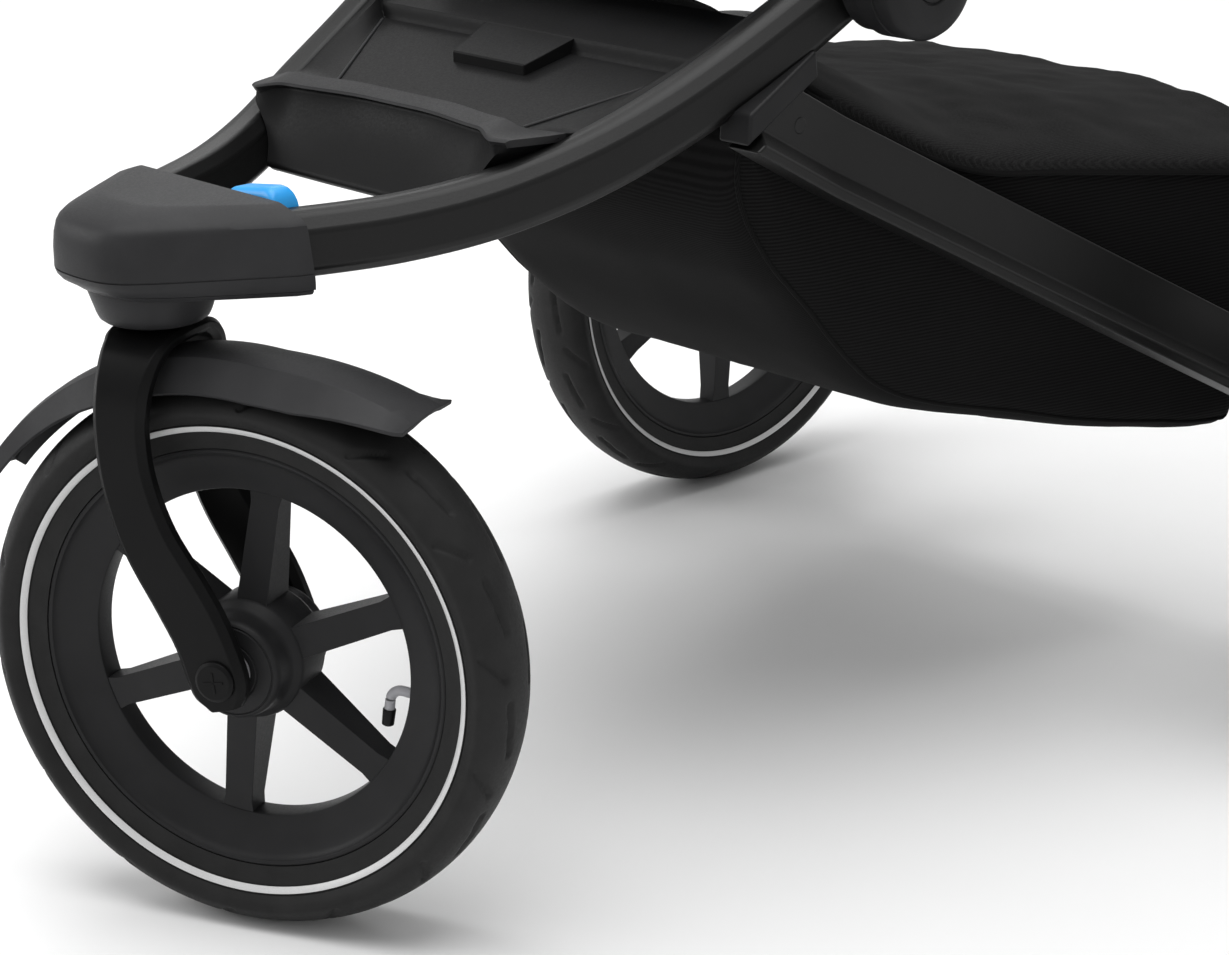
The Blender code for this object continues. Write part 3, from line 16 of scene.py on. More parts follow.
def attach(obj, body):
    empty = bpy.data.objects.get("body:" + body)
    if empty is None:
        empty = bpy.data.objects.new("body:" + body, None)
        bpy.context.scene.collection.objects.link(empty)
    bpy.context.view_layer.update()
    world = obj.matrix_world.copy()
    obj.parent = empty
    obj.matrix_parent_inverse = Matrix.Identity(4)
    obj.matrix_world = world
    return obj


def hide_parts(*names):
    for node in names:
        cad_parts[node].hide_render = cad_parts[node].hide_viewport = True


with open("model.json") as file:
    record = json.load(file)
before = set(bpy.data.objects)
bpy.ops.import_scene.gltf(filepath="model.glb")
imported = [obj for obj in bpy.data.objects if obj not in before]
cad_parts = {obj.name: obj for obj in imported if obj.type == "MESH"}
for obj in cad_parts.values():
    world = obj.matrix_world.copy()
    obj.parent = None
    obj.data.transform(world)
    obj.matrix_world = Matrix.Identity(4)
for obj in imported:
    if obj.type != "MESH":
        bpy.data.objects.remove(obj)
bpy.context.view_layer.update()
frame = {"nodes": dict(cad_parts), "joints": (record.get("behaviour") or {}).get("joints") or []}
joints = {joint["name"]: joint for joint in frame["joints"]}

# Places taken from the frame
STEM = Vector((0, joints["fork_swivel"]["pos_m"][1], 0))
WHEEL_AXIS = joints["front_wheel_spin"]["axis"]
STEER = atan2(WHEEL_AXIS[1], WHEEL_AXIS[0])
AT_STEM = Matrix.Translation(STEM)
AT_FORK = AT_STEM @ Matrix.Rotation(STEER, 4, "Z")
HUB_Y, HUB_Z = (Vector(joints["frame_fold"]["pos_m"]) - STEM).yz
SIDES = (("left", 1), ("right", -1))

# Wheels
FRONT_RADIUS, REAR_RADIUS = 0.1585, 0.1875
TRAIL = 0.054
AT_AXLE = AT_FORK @ Matrix.Translation((0, TRAIL, FRONT_RADIUS))
TYRE_HEIGHT = 0.0369
TYRE_STEPS = 560
TYRE_SIDE = [
    (0.0190, 0.0369), (0.0198, 0.0325), (0.0213, 0.0280), (0.0234, 0.0240), (0.0262, 0.0205),
    (0.0286, 0.0168), (0.0289, 0.0132), (0.0253, 0.0083), (0.0207, 0.0048), (0.0146, 0.0022),
    (0.0076, 0.0006),
]
TREAD_PITCH = 0.0711
GROOVE_WIDTH, GROOVE_DEPTH = 0.0030, 0.0022
GROOVES = (((0.000, 0.0105), (0.031, 0.0140)), ((0.046, 0.0165), (0.062, 0.0300)))
STRIPE_DROP, STRIPE_ACROSS = 0.0243, 0.0233
# The dark band round each stripe is painted shade, standing for the shadow in the channel round the stripe
STRIPE_WIDTH, STRIPE_SHADE = 0.0041, 0.0058
STRIPE_PROUD, SHADE_PROUD, STRIPE_BITE = 0.0011, 0.0007, 0.001
RIM_DEPTH, RIM_HALF, RIM_PLAY = 0.0260, 0.0185, 0.0003
SPOKES = 6
FRONT_SPOKE, REAR_SPOKE = radians(82.4), radians(90)
SPOKE_AT_RIM, SPOKE_AT_HUB = 0.0165, 0.0185
SPOKE_FACE_AT_RIM, SPOKE_FACE_AT_HUB = 0.0068, 0.0140
SPOKE_FLARE, SPOKE_FLARE_SHARES, SPOKE_BITE = 0.0022, (0.12, 0.86), 0.004
HUB_HALF, HUB_RADIUS, BARREL_HALF, BARREL_RADIUS = 0.0335, 0.0288, 0.0150, 0.0350
BEARING_RADIUS = 0.0125
VALVE_RADIUS, VALVE_DROP, VALVE_BEND = 0.0029, 0.014, 0.007
BRAKE_NOTCHES, BRAKE_RING, BRAKE_RING_DEEP = 12, (0.0245, 0.0395), 0.0095


# Shapes as (points, faces)


def smooth(points, steps):
    """Points along a Catmull-Rom curve through the given ones."""
    points = [Vector(point) for point in points]
    padded = [points[0] * 2 - points[1]] + points + [points[-1] * 2 - points[-2]]
    route = []
    for a, b, c, d in zip(padded, padded[1:], padded[2:], padded[3:]):
        for step in range(steps):
            t = step / steps
            bend = (a * 2 - b * 5 + c * 4 - d) * t**2 + (b * 3 - a - c * 3 + d) * t**3
            route.append((b * 2 + (c - a) * t + bend) / 2)
    return route + [points[-1]]


def mirrored(points):
    return [Vector((-point[0], *point[1:])) for point in points]


def on_side(points, side):
    return [Vector(point) for point in points] if side > 0 else mirrored(points)


def rounded_rectangle(wide, high, corner, steps):
    outline = []
    for turn, (sign_x, sign_y) in enumerate([(1, 1), (-1, 1), (-1, -1), (1, -1)]):
        centre_x, centre_y = sign_x * (wide / 2 - corner), sign_y * (high / 2 - corner)
        for step in range(steps + 1):
            angle = pi / 2 * (turn + step / steps)
            outline.append((centre_x + corner * cos(angle), centre_y + corner * sin(angle)))
    return outline


def circle(radius, steps, centre=(0, 0)):
    angles = [2 * pi * step / steps for step in range(steps)]
    return [(centre[0] + radius * cos(angle), centre[1] + radius * sin(angle)) for angle in angles]


def quads(rows, count, round_rows=False, round_columns=False):
    """Faces between the points of a net of rows, closed round along either way."""
    faces = []
    for row in range(rows if round_rows else rows - 1):
        here, there = row * count, (row + 1) % rows * count
        for i in range(count if round_columns else count - 1):
            j = (i + 1) % count
            faces.append((here + i, here + j, there + j, there + i))
    return faces


def lathe(profile, steps, closed=True):
    """A profile of (radius, along) pairs turned about X."""
    points = []
    for step in range(steps):
        angle = 2 * pi * step / steps
        points += [(along, radius * cos(angle), radius * sin(angle)) for radius, along in profile]
    return points, quads(steps, len(profile), True, closed)


def loft(rings):
    """A closed skin through rings of equal counts, capped at both ends."""
    count = len(rings[0])
    points = [tuple(point) for ring in rings for point in ring]
    last = len(points) - count
    caps = [tuple(range(count)), tuple(range(last, last + count))]
    return points, quads(len(rings), count, False, True) + caps


def grid(rows):
    """An open skin through rows of equal counts."""
    return [tuple(point) for row in rows for point in row], quads(len(rows), len(rows[0]))


def sweep(route, outline):
    """An outline of (sideways, upward) pairs carried along a route, kept as upright as it can be."""
    route = [Vector(point) for point in route]
    rings = []
    for i, point in enumerate(route):
        ahead = (route[min(i + 1, len(route) - 1)] - route[max(i - 1, 0)]).normalized()
        level = Vector((0, 0, 1)) if abs(ahead.z) < 0.98 else Vector((0, 1, 0))
        sideways = ahead.cross(level).normalized()
        upward = sideways.cross(ahead)
        rings.append([point + sideways * u + upward * v for u, v in outline])
    return loft(rings)


def prism(outline, start, end):
    """An outline in Y and Z between two places along X."""
    return loft([[(x, y, z) for y, z in outline] for x in (start, end)])


def together(*shapes):
    points, faces = [], []
    for more_points, more_faces in shapes:
        faces += [tuple(index + len(points) for index in face) for face in more_faces]
        points += list(more_points)
    return points, faces


def moved(shape, matrix):
    return [tuple(matrix @ Vector(point)) for point in shape[0]], shape[1]


def upright(profile, steps):
    """A profile of (radius, height) pairs turned about Z."""
    return moved(lathe(profile, steps, False), Matrix.Rotation(-pi / 2, 4, "Y"))


def inset_from(face, steps):
    """A profile of (radius, along) pairs, from radii and how far each lies behind a face."""
    return [(radius, face - inset) for radius, inset in steps]


def both_faces(half):
    """A section closed by its mirror image."""
    return half + [(radius, -along) for radius, along in reversed(half)]


def sided(profile, side):
    return [(radius, side * along) for radius, along in profile]


def at(point):
    return AT_STEM @ Matrix.Translation(point)


def mix(start, end, share):
    return start + (end - start) * share


def clamped(value):
    return min(1.0, max(0.0, value))


def ease(value, start, stop):
    """A smooth step from 0 to 1 between two values."""
    share = clamped((value - start) / (stop - start))
    return share * share * (3 - 2 * share)


# Pieces


def add_object(name, data):
    obj = bpy.data.objects.new(name, data)
    bpy.context.scene.collection.objects.link(obj)
    return obj


def piece(name, shape, look, body, *nodes, place=AT_STEM, slot=None, closed=True, sharp=38):
    """A mesh piece in its place, riding on a body and standing for nodes of the frame."""
    mesh = bpy.data.meshes.new(name)
    mesh.from_pydata([tuple(point) for point in shape[0]], [], shape[1])
    bm = bmesh.new()
    bm.from_mesh(mesh)
    bmesh.ops.remove_doubles(bm, verts=bm.verts, dist=1e-6)
    if closed:
        bmesh.ops.recalc_face_normals(bm, faces=bm.faces)
    bm.to_mesh(mesh)
    bm.free()
    mesh.shade_smooth()
    mesh.set_sharp_from_angle(angle=radians(sharp))
    obj = add_object(name, mesh)
    obj.matrix_world = place
    mesh.materials.append(look)
    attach(obj, body)
    if nodes:
        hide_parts(*nodes)
    slot or SLOT_OF[look.name]
    return obj


def bevel(obj, width, segments=2, angle=28):
    modifier = obj.modifiers.new("Edges", "BEVEL")
    modifier.width = width
    modifier.segments = segments
    modifier.limit_method = "ANGLE"
    modifier.angle_limit = radians(angle)
    modifier.harden_normals = True
    return obj


def thicken(obj, wall, offset=-1.0):
    modifier = obj.modifiers.new("Wall", "SOLIDIFY")
    modifier.thickness = wall
    modifier.offset = offset
    modifier.use_even_offset = True
    return obj


def declare_sheet(obj, rows, held, *rests_on, with_pieces=()):
    """Works out the flat size of a cloth piece, from the lengths along and across its surface; the size is
    not kept or stated anywhere.
    """

    def longest(lines):
        return max(sum((b - a).length for a, b in zip(line, line[1:])) for line in lines)

    flat = longest(rows), longest(list(zip(*rows)))


def dress(look, *nodes, edge=0.0008):
    """A node of the frame that stays as it is, with a finish and softened edges."""
    for node in nodes:
        obj = frame["nodes"][node]
        obj.data.materials.clear()
        obj.data.materials.append(look)
        weld = obj.modifiers.new("Weld", "WELD")
        weld.merge_threshold = 0.00002
        bevel(obj, edge, 2, 35)


# Materials

# The values between which most of a noise lies
NOISE_LOW, NOISE_HIGH = 0.3, 0.7


class Look:
    """A Principled material whose colour, roughness and surface come from noise at the real scale."""

    def __init__(self, name, metallic=0.0, **sockets):
        self.material = bpy.data.materials.new(name)
        self.material.use_nodes = True
        self.nodes = self.material.node_tree.nodes
        self.links = self.material.node_tree.links
        self.shader = self.nodes["Principled BSDF"]
        self.shader.inputs["Metallic"].default_value = metallic
        for socket, value in sockets.items():
            self.shader.inputs[socket.replace("_", " ")].default_value = value
        self.where = self.node("TexCoord").outputs["Object"]

    def node(self, kind, **values):
        made = self.nodes.new("ShaderNode" + kind)
        for key, value in values.items():
            if key in made.inputs:
                made.inputs[key].default_value = value
            else:
                setattr(made, key, value)
        return made

    def join(self, start, end):
        self.links.new(start, end)

    def stretched(self, scale):
        mapping = self.node("Mapping", Scale=scale)
        self.join(self.where, mapping.inputs["Vector"])
        return mapping.outputs["Vector"]

    def noise(self, scale, detail=3.0, where=None):
        made = self.node("TexNoise", Scale=scale, Detail=detail)
        self.join(where or self.where, made.inputs["Vector"])
        return made.outputs["Fac"]

    def bands(self, period, axis, distortion=0.0):
        """Straight bands across an axis, a real distance apart."""
        made = self.node("TexWave", Scale=pi / 10 / period, Distortion=distortion)
        made.bands_direction = axis
        self.join(self.where, made.inputs["Vector"])
        return made.outputs["Fac"]

    def spread(self, value, low, high):
        made = self.node("MapRange")
        made.inputs["From Min"].default_value = NOISE_LOW
        made.inputs["From Max"].default_value = NOISE_HIGH
        made.inputs["To Min"].default_value = low
        made.inputs["To Max"].default_value = high
        self.join(value, made.inputs["Value"])
        return made.outputs["Result"]

    def math(self, operation, first, second):
        made = self.node("Math", operation=operation)
        for socket, value in zip(made.inputs, (first, second)):
            if isinstance(value, (int, float)):
                socket.default_value = value
            else:
                self.join(value, socket)
        return made.outputs["Value"]

    def colour(self, value, dark, light):
        ramp = self.node("ValToRGB")
        for stop, place, shade in zip(ramp.color_ramp.elements, (NOISE_LOW, NOISE_HIGH), (dark, light)):
            stop.position = place
            stop.color = (*shade, 1)
        self.join(value, ramp.inputs["Fac"])
        self.join(ramp.outputs["Color"], self.shader.inputs["Base Color"])
        return self

    def rough(self, value, low, high):
        self.join(self.spread(value, low, high), self.shader.inputs["Roughness"])
        return self

    def bump(self, height, strength, distance):
        made = self.node("Bump", Strength=strength, Distance=distance)
        self.join(height, made.inputs["Height"])
        self.join(made.outputs["Normal"], self.shader.inputs["Normal"])
        return self


def grey(level, tint=0.0):
    return level, level, level * (1 + tint)


def plain_look(name, dark, light, low, high, spots, wear, grain, strength, depth=0.0004, **sockets):
    """A finish whose colour, roughness and surface each follow noise of their own scale and detail."""
    look = Look(name, **sockets)
    look.colour(look.noise(*spots), dark, light)
    look.rough(look.noise(*wear), low, high)
    return look.bump(look.noise(*grain), strength, depth).material


def moulded_look(name, level, low, high, strength=0.10, shine=0.15):
    """Moulded plastic with a fine spark-eroded texture."""
    shades = grey(level * 0.88, 0.05), grey(level * 1.12, 0.05)
    return plain_look(name, *shades, low, high, (40,), (700,), (2600, 4), strength, Specular_IOR_Level=shine)


def rubber_look(name, level):
    shades = grey(level * 0.85), grey(level * 1.15)
    return plain_look(name, *shades, 0.50, 0.62, (60,), (500,), (1800, 4), 0.14, Specular_IOR_Level=0.16)


def metal_look():
    """Turned steel, brushed round its axis."""
    look = Look("bright_steel", metallic=1.0)
    brushed = look.stretched((14, 1, 1))
    look.colour(look.noise(300, 2, brushed), grey(0.50), grey(0.68))
    look.rough(look.noise(900, 2, brushed), 0.20, 0.34)
    return look.bump(look.noise(1200, 2, brushed), 0.08, 0.0002).material


def weave_look(name, dark, light, period, axis, depth=0.35):
    """Ribbed cloth: yarns along one axis, broken by fibres."""
    look = Look(name, Specular_IOR_Level=0.08, Sheen_Weight=0.01, Sheen_Roughness=0.5)
    ribs = look.bands(period, axis, 0.6)
    fibres = look.noise(2200, 4)
    both = look.math("ADD", look.math("MULTIPLY", ribs, 0.6), look.math("MULTIPLY", fibres, 0.4))
    look.colour(both, dark, light)
    look.rough(fibres, 0.82, 0.96)
    return look.bump(both, depth, 0.0006).material


def heather_look():
    """Dark melange cloth: light and dark fibres in a fine weave."""
    look = Look("heather_cloth", Specular_IOR_Level=0.10, Sheen_Weight=0.02, Sheen_Roughness=0.5)
    fleck = look.noise(1400, 5, look.stretched((1, 0.35, 1)))
    weave = look.math("MULTIPLY", look.bands(0.0011, "X", 0.8), look.bands(0.0011, "Y", 0.8))
    both = look.math("ADD", look.math("MULTIPLY", fleck, 0.8), look.math("MULTIPLY", weave, 0.25))
    look.colour(both, grey(0.006), grey(0.024))
    look.rough(fleck, 0.85, 0.97)
    return look.bump(weave, 0.3, 0.0005).material


def webbing_look():
    look = Look("webbing", Specular_IOR_Level=0.25)
    weave = look.math("MULTIPLY", look.bands(0.0016, "X", 0.3), look.bands(0.0022, "Z", 0.3))
    look.colour(weave, grey(0.010), grey(0.030))
    look.rough(look.noise(900), 0.62, 0.78)
    return look.bump(weave, 0.5, 0.0006).material


def floor_look():
    look = Look("pale_floor")
    look.colour(look.noise(2), grey(0.86), grey(0.88))
    look.rough(look.noise(5), 0.55, 0.65)
    return look.material


nose_plastic = moulded_look("nose_plastic", 0.024, 0.42, 0.52)
fork_plastic = moulded_look("fork_plastic", 0.003, 0.38, 0.48, 0.06, 0.12)
fender_plastic = moulded_look("fender_plastic", 0.026, 0.45, 0.55)
rim_plastic = moulded_look("rim_plastic", 0.014, 0.40, 0.50, 0.10, 0.16)
# One footrest plastic in two copies: the darker copy, for the deck, apron and tab, is painted shade from the
# seat above, and the lighter copy, for the lip and ribs, is painted light falling on them from the front
shaded_footrest_plastic = moulded_look("shaded_footrest_plastic", 0.004, 0.44, 0.54, 0.10, 0.12)
lit_lip_plastic = moulded_look("lit_lip_plastic", 0.016, 0.44, 0.54, 0.10, 0.16)
hub_plastic = moulded_look("hub_plastic", 0.012, 0.42, 0.52)
bracket_metal = moulded_look("cast_bracket", 0.012, 0.40, 0.50)
black_plastic = moulded_look("black_plastic", 0.005, 0.34, 0.44, 0.05)
valve_metal = moulded_look("valve_metal", 0.30, 0.34, 0.44)
paint = plain_look("satin_paint", grey(0.002), grey(0.005), 0.34, 0.44, (1500,), (900,), (1600, 2), 0.10,
                   Specular_IOR_Level=0.26)
tyre_rubber = rubber_look("tyre_rubber", 0.014)
# Black rubber for the bearing's seal, which is black, and for the band round the tyre's stripes, which is
# painted shade
black_rubber_and_shade = rubber_look("black_rubber_and_shade", 0.004)
steel = metal_look()
stripe_tape = plain_look("reflective_tape", grey(0.52), grey(0.66), 0.30, 0.42, (4200, 2), (800,), (4200, 2),
                         0.12, 0.0002, Specular_IOR_Level=0.6)
blue_plastic = plain_look("blue_plastic", (0.010, 0.29, 0.70), (0.013, 0.33, 0.78), 0.34, 0.44, (60,), (600,),
                          (2600, 3), 0.08, 0.0003)
foam = plain_look("foam_grip", grey(0.012), grey(0.026), 0.80, 0.92, (1500, 5), (300,), (1500, 5),
                  0.45, 0.0006)
ribbed_cloth = weave_look("ribbed_cloth", grey(0.0030), grey(0.0085), 0.0024, "Z")
plain_cloth = weave_look("plain_cloth", grey(0.0035), grey(0.0085), 0.0010, "Y", 0.2)
seat_cloth = weave_look("seat_cloth", grey(0.005), grey(0.014), 0.0016, "X")
canopy_cloth = weave_look("canopy_cloth", grey(0.004), grey(0.010), 0.0009, "X", 0.2)
heather_cloth = heather_look()
webbing = webbing_look()

# The slot of each finish, for the pieces that name no slot of their own
SLOTS = {
    "moulded_plastic": (nose_plastic, fork_plastic, fender_plastic, rim_plastic, shaded_footrest_plastic,
                        lit_lip_plastic, hub_plastic, bracket_metal, black_plastic),
    "steel": (steel, valve_metal),
    "frame_paint": (paint,),
    "tyre": (tyre_rubber, black_rubber_and_shade, stripe_tape),
    "blue_plastic": (blue_plastic,),
    "foam_grip": (foam,),
    "black_fabric": (ribbed_cloth, plain_cloth, seat_cloth, canopy_cloth),
    "heather_fabric": (heather_cloth,),
    "webbing": (webbing,),
}
SLOT_OF = {look.name: slot for slot, looks in SLOTS.items() for look in looks}


# Building the wheels


def tyre_points(radius):
    """A tyre's skin: rings of its section round the wheel, with the tread's grooves pressed in."""
    side = [Vector((across, drop, 0)) for across, drop in TYRE_SIDE]
    crown = [Vector((0, 0, 0))]
    section = smooth(side + crown + mirrored(side)[::-1], 4)
    across = np.array([point.x for point in section])
    drop = np.array([point.y for point in section])
    arc = np.concatenate([[0], np.cumsum(np.hypot(np.diff(across), np.diff(drop)))])
    arc -= arc[len(arc) // 2]
    angle = np.linspace(0, 2 * pi, TYRE_STEPS, endpoint=False)
    pitch = 2 * pi * radius / round(2 * pi * radius / TREAD_PITCH)
    depth = np.zeros((TYRE_STEPS, len(section)))
    for sign, shift in ((1, 0.0), (-1, pitch / 2)):
        along = (angle * radius + shift) % pitch
        for (u0, v0), (u1, v1) in GROOVES:
            run = np.array([u1 - u0, v1 - v0])
            u, v = along[:, None] - u0, sign * arc[None, :] - v0
            share = np.clip((u * run[0] + v * run[1]) / (run @ run), 0, 1)
            gap = np.hypot(u - share * run[0], v - share * run[1])
            depth = np.maximum(depth, np.clip(1.5 - 2 * gap / GROOVE_WIDTH, 0, 1) * GROOVE_DEPTH)
    reach = radius - drop[None, :] - depth
    points = np.stack([np.broadcast_to(across, reach.shape), reach * np.cos(angle)[:, None],
                       reach * np.sin(angle)[:, None]], axis=-1)
    return points.reshape(-1, 3).tolist(), len(section)


def build_tyre(name, radius, place, body):
    """A tyre, with a reflective stripe on either side, laid on a band of black rubber that is painted shade:
    the shadow of the shallow channel the stripe sits in.
    """
    points, count = tyre_points(radius)
    skin = points, quads(TYRE_STEPS, count, True, True)
    nodes = (name + "_tyre", name + "_inner_tube")
    piece(name + "_tyre_tread", skin, tyre_rubber, body, *nodes, place=place, sharp=70)
    tilt = Vector((TYRE_SIDE[4][0] - TYRE_SIDE[2][0], TYRE_SIDE[2][1] - TYRE_SIDE[4][1])).normalized()
    # The wider dark band under each stripe is painted shade of the channel it sits in; the stripe lies on top
    # of it
    layers = (("edge", STRIPE_SHADE, SHADE_PROUD, black_rubber_and_shade),
              ("stripe", STRIPE_WIDTH, STRIPE_PROUD, stripe_tape))
    for sign, side_name in ((1, "a"), (-1, "b")):
        for label, width, proud, look in layers:
            half = [(-0.5, -STRIPE_BITE), (-0.5, proud * 0.7), (-0.35, proud)]
            band = []
            for along, out in half + [(-along, out) for along, out in reversed(half)]:
                x = STRIPE_ACROSS + tilt.x * along * width + tilt.y * out
                r = radius - STRIPE_DROP + tilt.y * along * width - tilt.x * out
                band.append((r, sign * x))
            piece(f"{name}_{label}_{side_name}", lathe(band, 192), look, body, place=place)


def spoke(angle, floor):
    """One spoke, as rings along it: a bar that is deeper and wider at the hub and flares at both ends."""
    along, across = Vector((0, cos(angle), sin(angle))), Vector((0, -sin(angle), cos(angle)))
    near, far = SPOKE_FLARE_SHARES
    rings = []
    for share in (0, near / 2, near, 0.5, far, (far + 1) / 2, 1):
        flare = SPOKE_FLARE * (max(0.0, share - far) / (1 - far) + max(0.0, near - share) / near)
        half = mix(SPOKE_AT_HUB, SPOKE_AT_RIM, share) / 2 + flare
        face = mix(SPOKE_FACE_AT_HUB, SPOKE_FACE_AT_RIM, share)
        radius = mix(HUB_RADIUS - SPOKE_BITE, floor + SPOKE_BITE, share)
        outline = [(-half, face), (half, face), (half, -face), (-half, -face)]
        rings.append([along * radius + across * u + Vector((x, 0, 0)) for u, x in outline])
    return loft(rings)


def rim_profile(bed):
    """Half of the rim's section, from its bed over the lip and down the dished face."""
    steps = (
        (0, 0.004), (0, 0), (0.0010, -0.0006), (0.0026, -0.0002), (0.0036, 0.0016), (0.0060, 0.0036),
        (0.0120, 0.0062), (0.0180, 0.0084), (0.0235, 0.0098), (0.0255, 0.0108), (RIM_DEPTH, 0.0125),
    )
    return [(bed - drop, RIM_HALF - inset) for drop, inset in steps]


def hub_profile():
    """Half of the hub's section, from its bore over the grooved face to its barrel."""
    bore = BEARING_RADIUS + 0.0002
    steps = (
        (bore, 0.006), (bore, 0), (0.0158, 0), (0.0160, 0.0007), (0.0166, 0.0007), (0.0168, 0),
        (0.0247, 0.0006), (0.0249, 0.0014), (0.0256, 0.0014), (0.0258, 0.0008), (0.0270, 0.0016),
        (0.0282, 0.0032), (HUB_RADIUS, 0.0058),
    )
    return inset_from(HUB_HALF, steps) + [
        (HUB_RADIUS, BARREL_HALF + 0.0060), (BARREL_RADIUS - 0.0040, BARREL_HALF + 0.0016),
        (BARREL_RADIUS - 0.0012, BARREL_HALF), (BARREL_RADIUS, BARREL_HALF - 0.0030),
    ]


def build_rim(name, radius, first_spoke, place, body):
    bed = radius - TYRE_HEIGHT - RIM_PLAY
    shapes = [lathe(both_faces(rim_profile(bed)), 160), lathe(both_faces(hub_profile()), 96)]
    shapes += [spoke(first_spoke + 2 * pi * i / SPOKES, bed - RIM_DEPTH) for i in range(SPOKES)]
    rim = piece(name + "_wheel_rim", together(*shapes), rim_plastic, body, name + "_rim", place=place,
                sharp=45)
    bevel(rim, 0.0009, 2, 40)


def build_bearing(name, place, body):
    """Ball bearing in the hub: bright races round a dark seal."""
    rings = (("race", 0.0100, 0.0123, 0.0002, valve_metal), ("seal", 0.0076, 0.0102, 0.0012, black_rubber_and_shade),
             ("inner_race", 0.0064, 0.0078, 0.0008, steel))
    for label, inner, outer, depth, look in rings:
        ring = lathe(both_faces([(inner, HUB_HALF - depth), (outer, HUB_HALF - depth)]), 64)
        nodes = [name + "_bearing"] if label == "race" else []
        made = piece(f"{name}_bearing_{label}", ring, look, body, *nodes, place=place, slot="steel")
        bevel(made, 0.0003)


def build_valve(name, radius, first_spoke, place, body, *nodes):
    """Bent valve stem with its black cap, midway between two spokes."""
    angle = first_spoke - 3 * pi / SPOKES
    outward, down = Vector((0, cos(angle), sin(angle))), Vector((0, sin(angle), -cos(angle)))
    bed = radius - TYRE_HEIGHT
    corner = bed - RIM_DEPTH - VALVE_DROP
    turn = [(VALVE_BEND * (1 - sin(t)), VALVE_BEND * (1 - cos(t))) for t in np.linspace(0, pi / 2, 9)]
    line = [(bed - corner - 0.006, 0)] + turn + [(0, 0.013)]
    route = [outward * (corner + out) + down * fall for out, fall in line]
    stem = sweep(route, circle(VALVE_RADIUS, 20))
    piece(name + "_valve_stem", stem, valve_metal, body, *nodes, place=place)
    rings = []
    for fall, reach in ((0.0125, 0.0034), (0.0130, 0.0037), (0.0218, 0.0034), (0.0225, 0.0024)):
        point = outward * corner + down * fall
        rings.append([point + outward * u + Vector((v, 0, 0)) for u, v in circle(reach, 20)])
    piece(name + "_valve_cap", loft(rings), black_plastic, body, place=place)


def build_brake_ring(name, side, place, body):
    """Notched ring on the inner face of a rear hub, which the brake pin enters."""
    inner, outer = BRAKE_RING
    outline = []
    for tooth in range(BRAKE_NOTCHES):
        for turn, radius in ((-0.3, inner), (0.3, inner), (0.3, outer), (0.7, outer)):
            angle = pi / 2 + (tooth + turn) * 2 * pi / BRAKE_NOTCHES
            outline.append((radius * cos(angle), radius * sin(angle)))
    face = -side * (HUB_HALF - 0.0005)
    ring = prism(outline, face, face + side * BRAKE_RING_DEEP)
    bevel(piece(name + "_brake_ring", ring, rim_plastic, body, place=place), 0.0006)


def build_wheel(name, radius, first_spoke, place, body, *valve_nodes):
    build_tyre(name, radius, place, body)
    build_rim(name, radius, first_spoke, place, body)
    build_bearing(name, place, body)
    build_valve(name, radius, first_spoke, place, body, *valve_nodes)


def build_wheels():
    build_wheel("front", FRONT_RADIUS, FRONT_SPOKE, AT_AXLE, "front_wheel", "front_valve")
    for side_name, side in SIDES:
        name, body = "rear_" + side_name, "rear_wheel_" + side_name
        place = Matrix.Translation(joints[body + "_spin"]["pos_m"])
        build_wheel(name, REAR_RADIUS, REAR_SPOKE, place, body)
        build_brake_ring(name, side, place, body)


# Front fork, mudguard and nose

FORK_INNER, FORK_THICK, FORK_WIDTH = 0.0365, 0.0130, 0.0355
CROWN_Z, CROWN_THICK, CROWN_BLEND = 0.3370, 0.0085, (0.006, 0.020)
DROPOUT_RADIUS, STEM_RADIUS = 0.0172, 0.010
AXLE_RADIUS, AXLE_CAP, AXLE_CAP_PROUD, AXLE_CAP_SUNK = 0.006, 0.0115, 0.0028, 0.001
MARK_RIB, MARK_REACH, MARK_PROUD, MARK_TURN = 0.0007, 0.52, 0.0004, radians(8)
FENDER_HALF, FENDER_TOP_HALF, FENDER_CROWN = 0.0315, 0.0175, 0.0026
FENDER_GAP, FENDER_WALL, FENDER_SKIRT = 0.0138, 0.0026, 0.0190
FENDER_REAR, FENDER_LOWEST, FENDER_FRONT = radians(54.2), radians(85), radians(151)
FENDER_REAR_LIFT, FENDER_FRONT_LIFT = 0.0117, 0.0118
NOSE_LOW, NOSE_HIGH, NOSE_REAR, NOSE_LEAN = 0.3655, 0.4105, 0.0460, 0.15
NOSE_SEAM, NOSE_COVER = NOSE_LOW + 0.0093, 0.0032
NOSE_PLAN = [
    (0.083, 0.046), (0.080, 0.036), (0.060, 0.002), (0.040, -0.030), (0.027, -0.044), (0.012, -0.049),
]
COLLAR_LOW = 0.3425
LEVER_X, LEVER_TOP = (0.0120, 0.0545), (0.4100, 0.4165)
LEVER_FRONT, LEVER_REAR, LEVER_LOW, LEVER_ROUND = 0.0408, 0.0580, 0.4020, 0.72


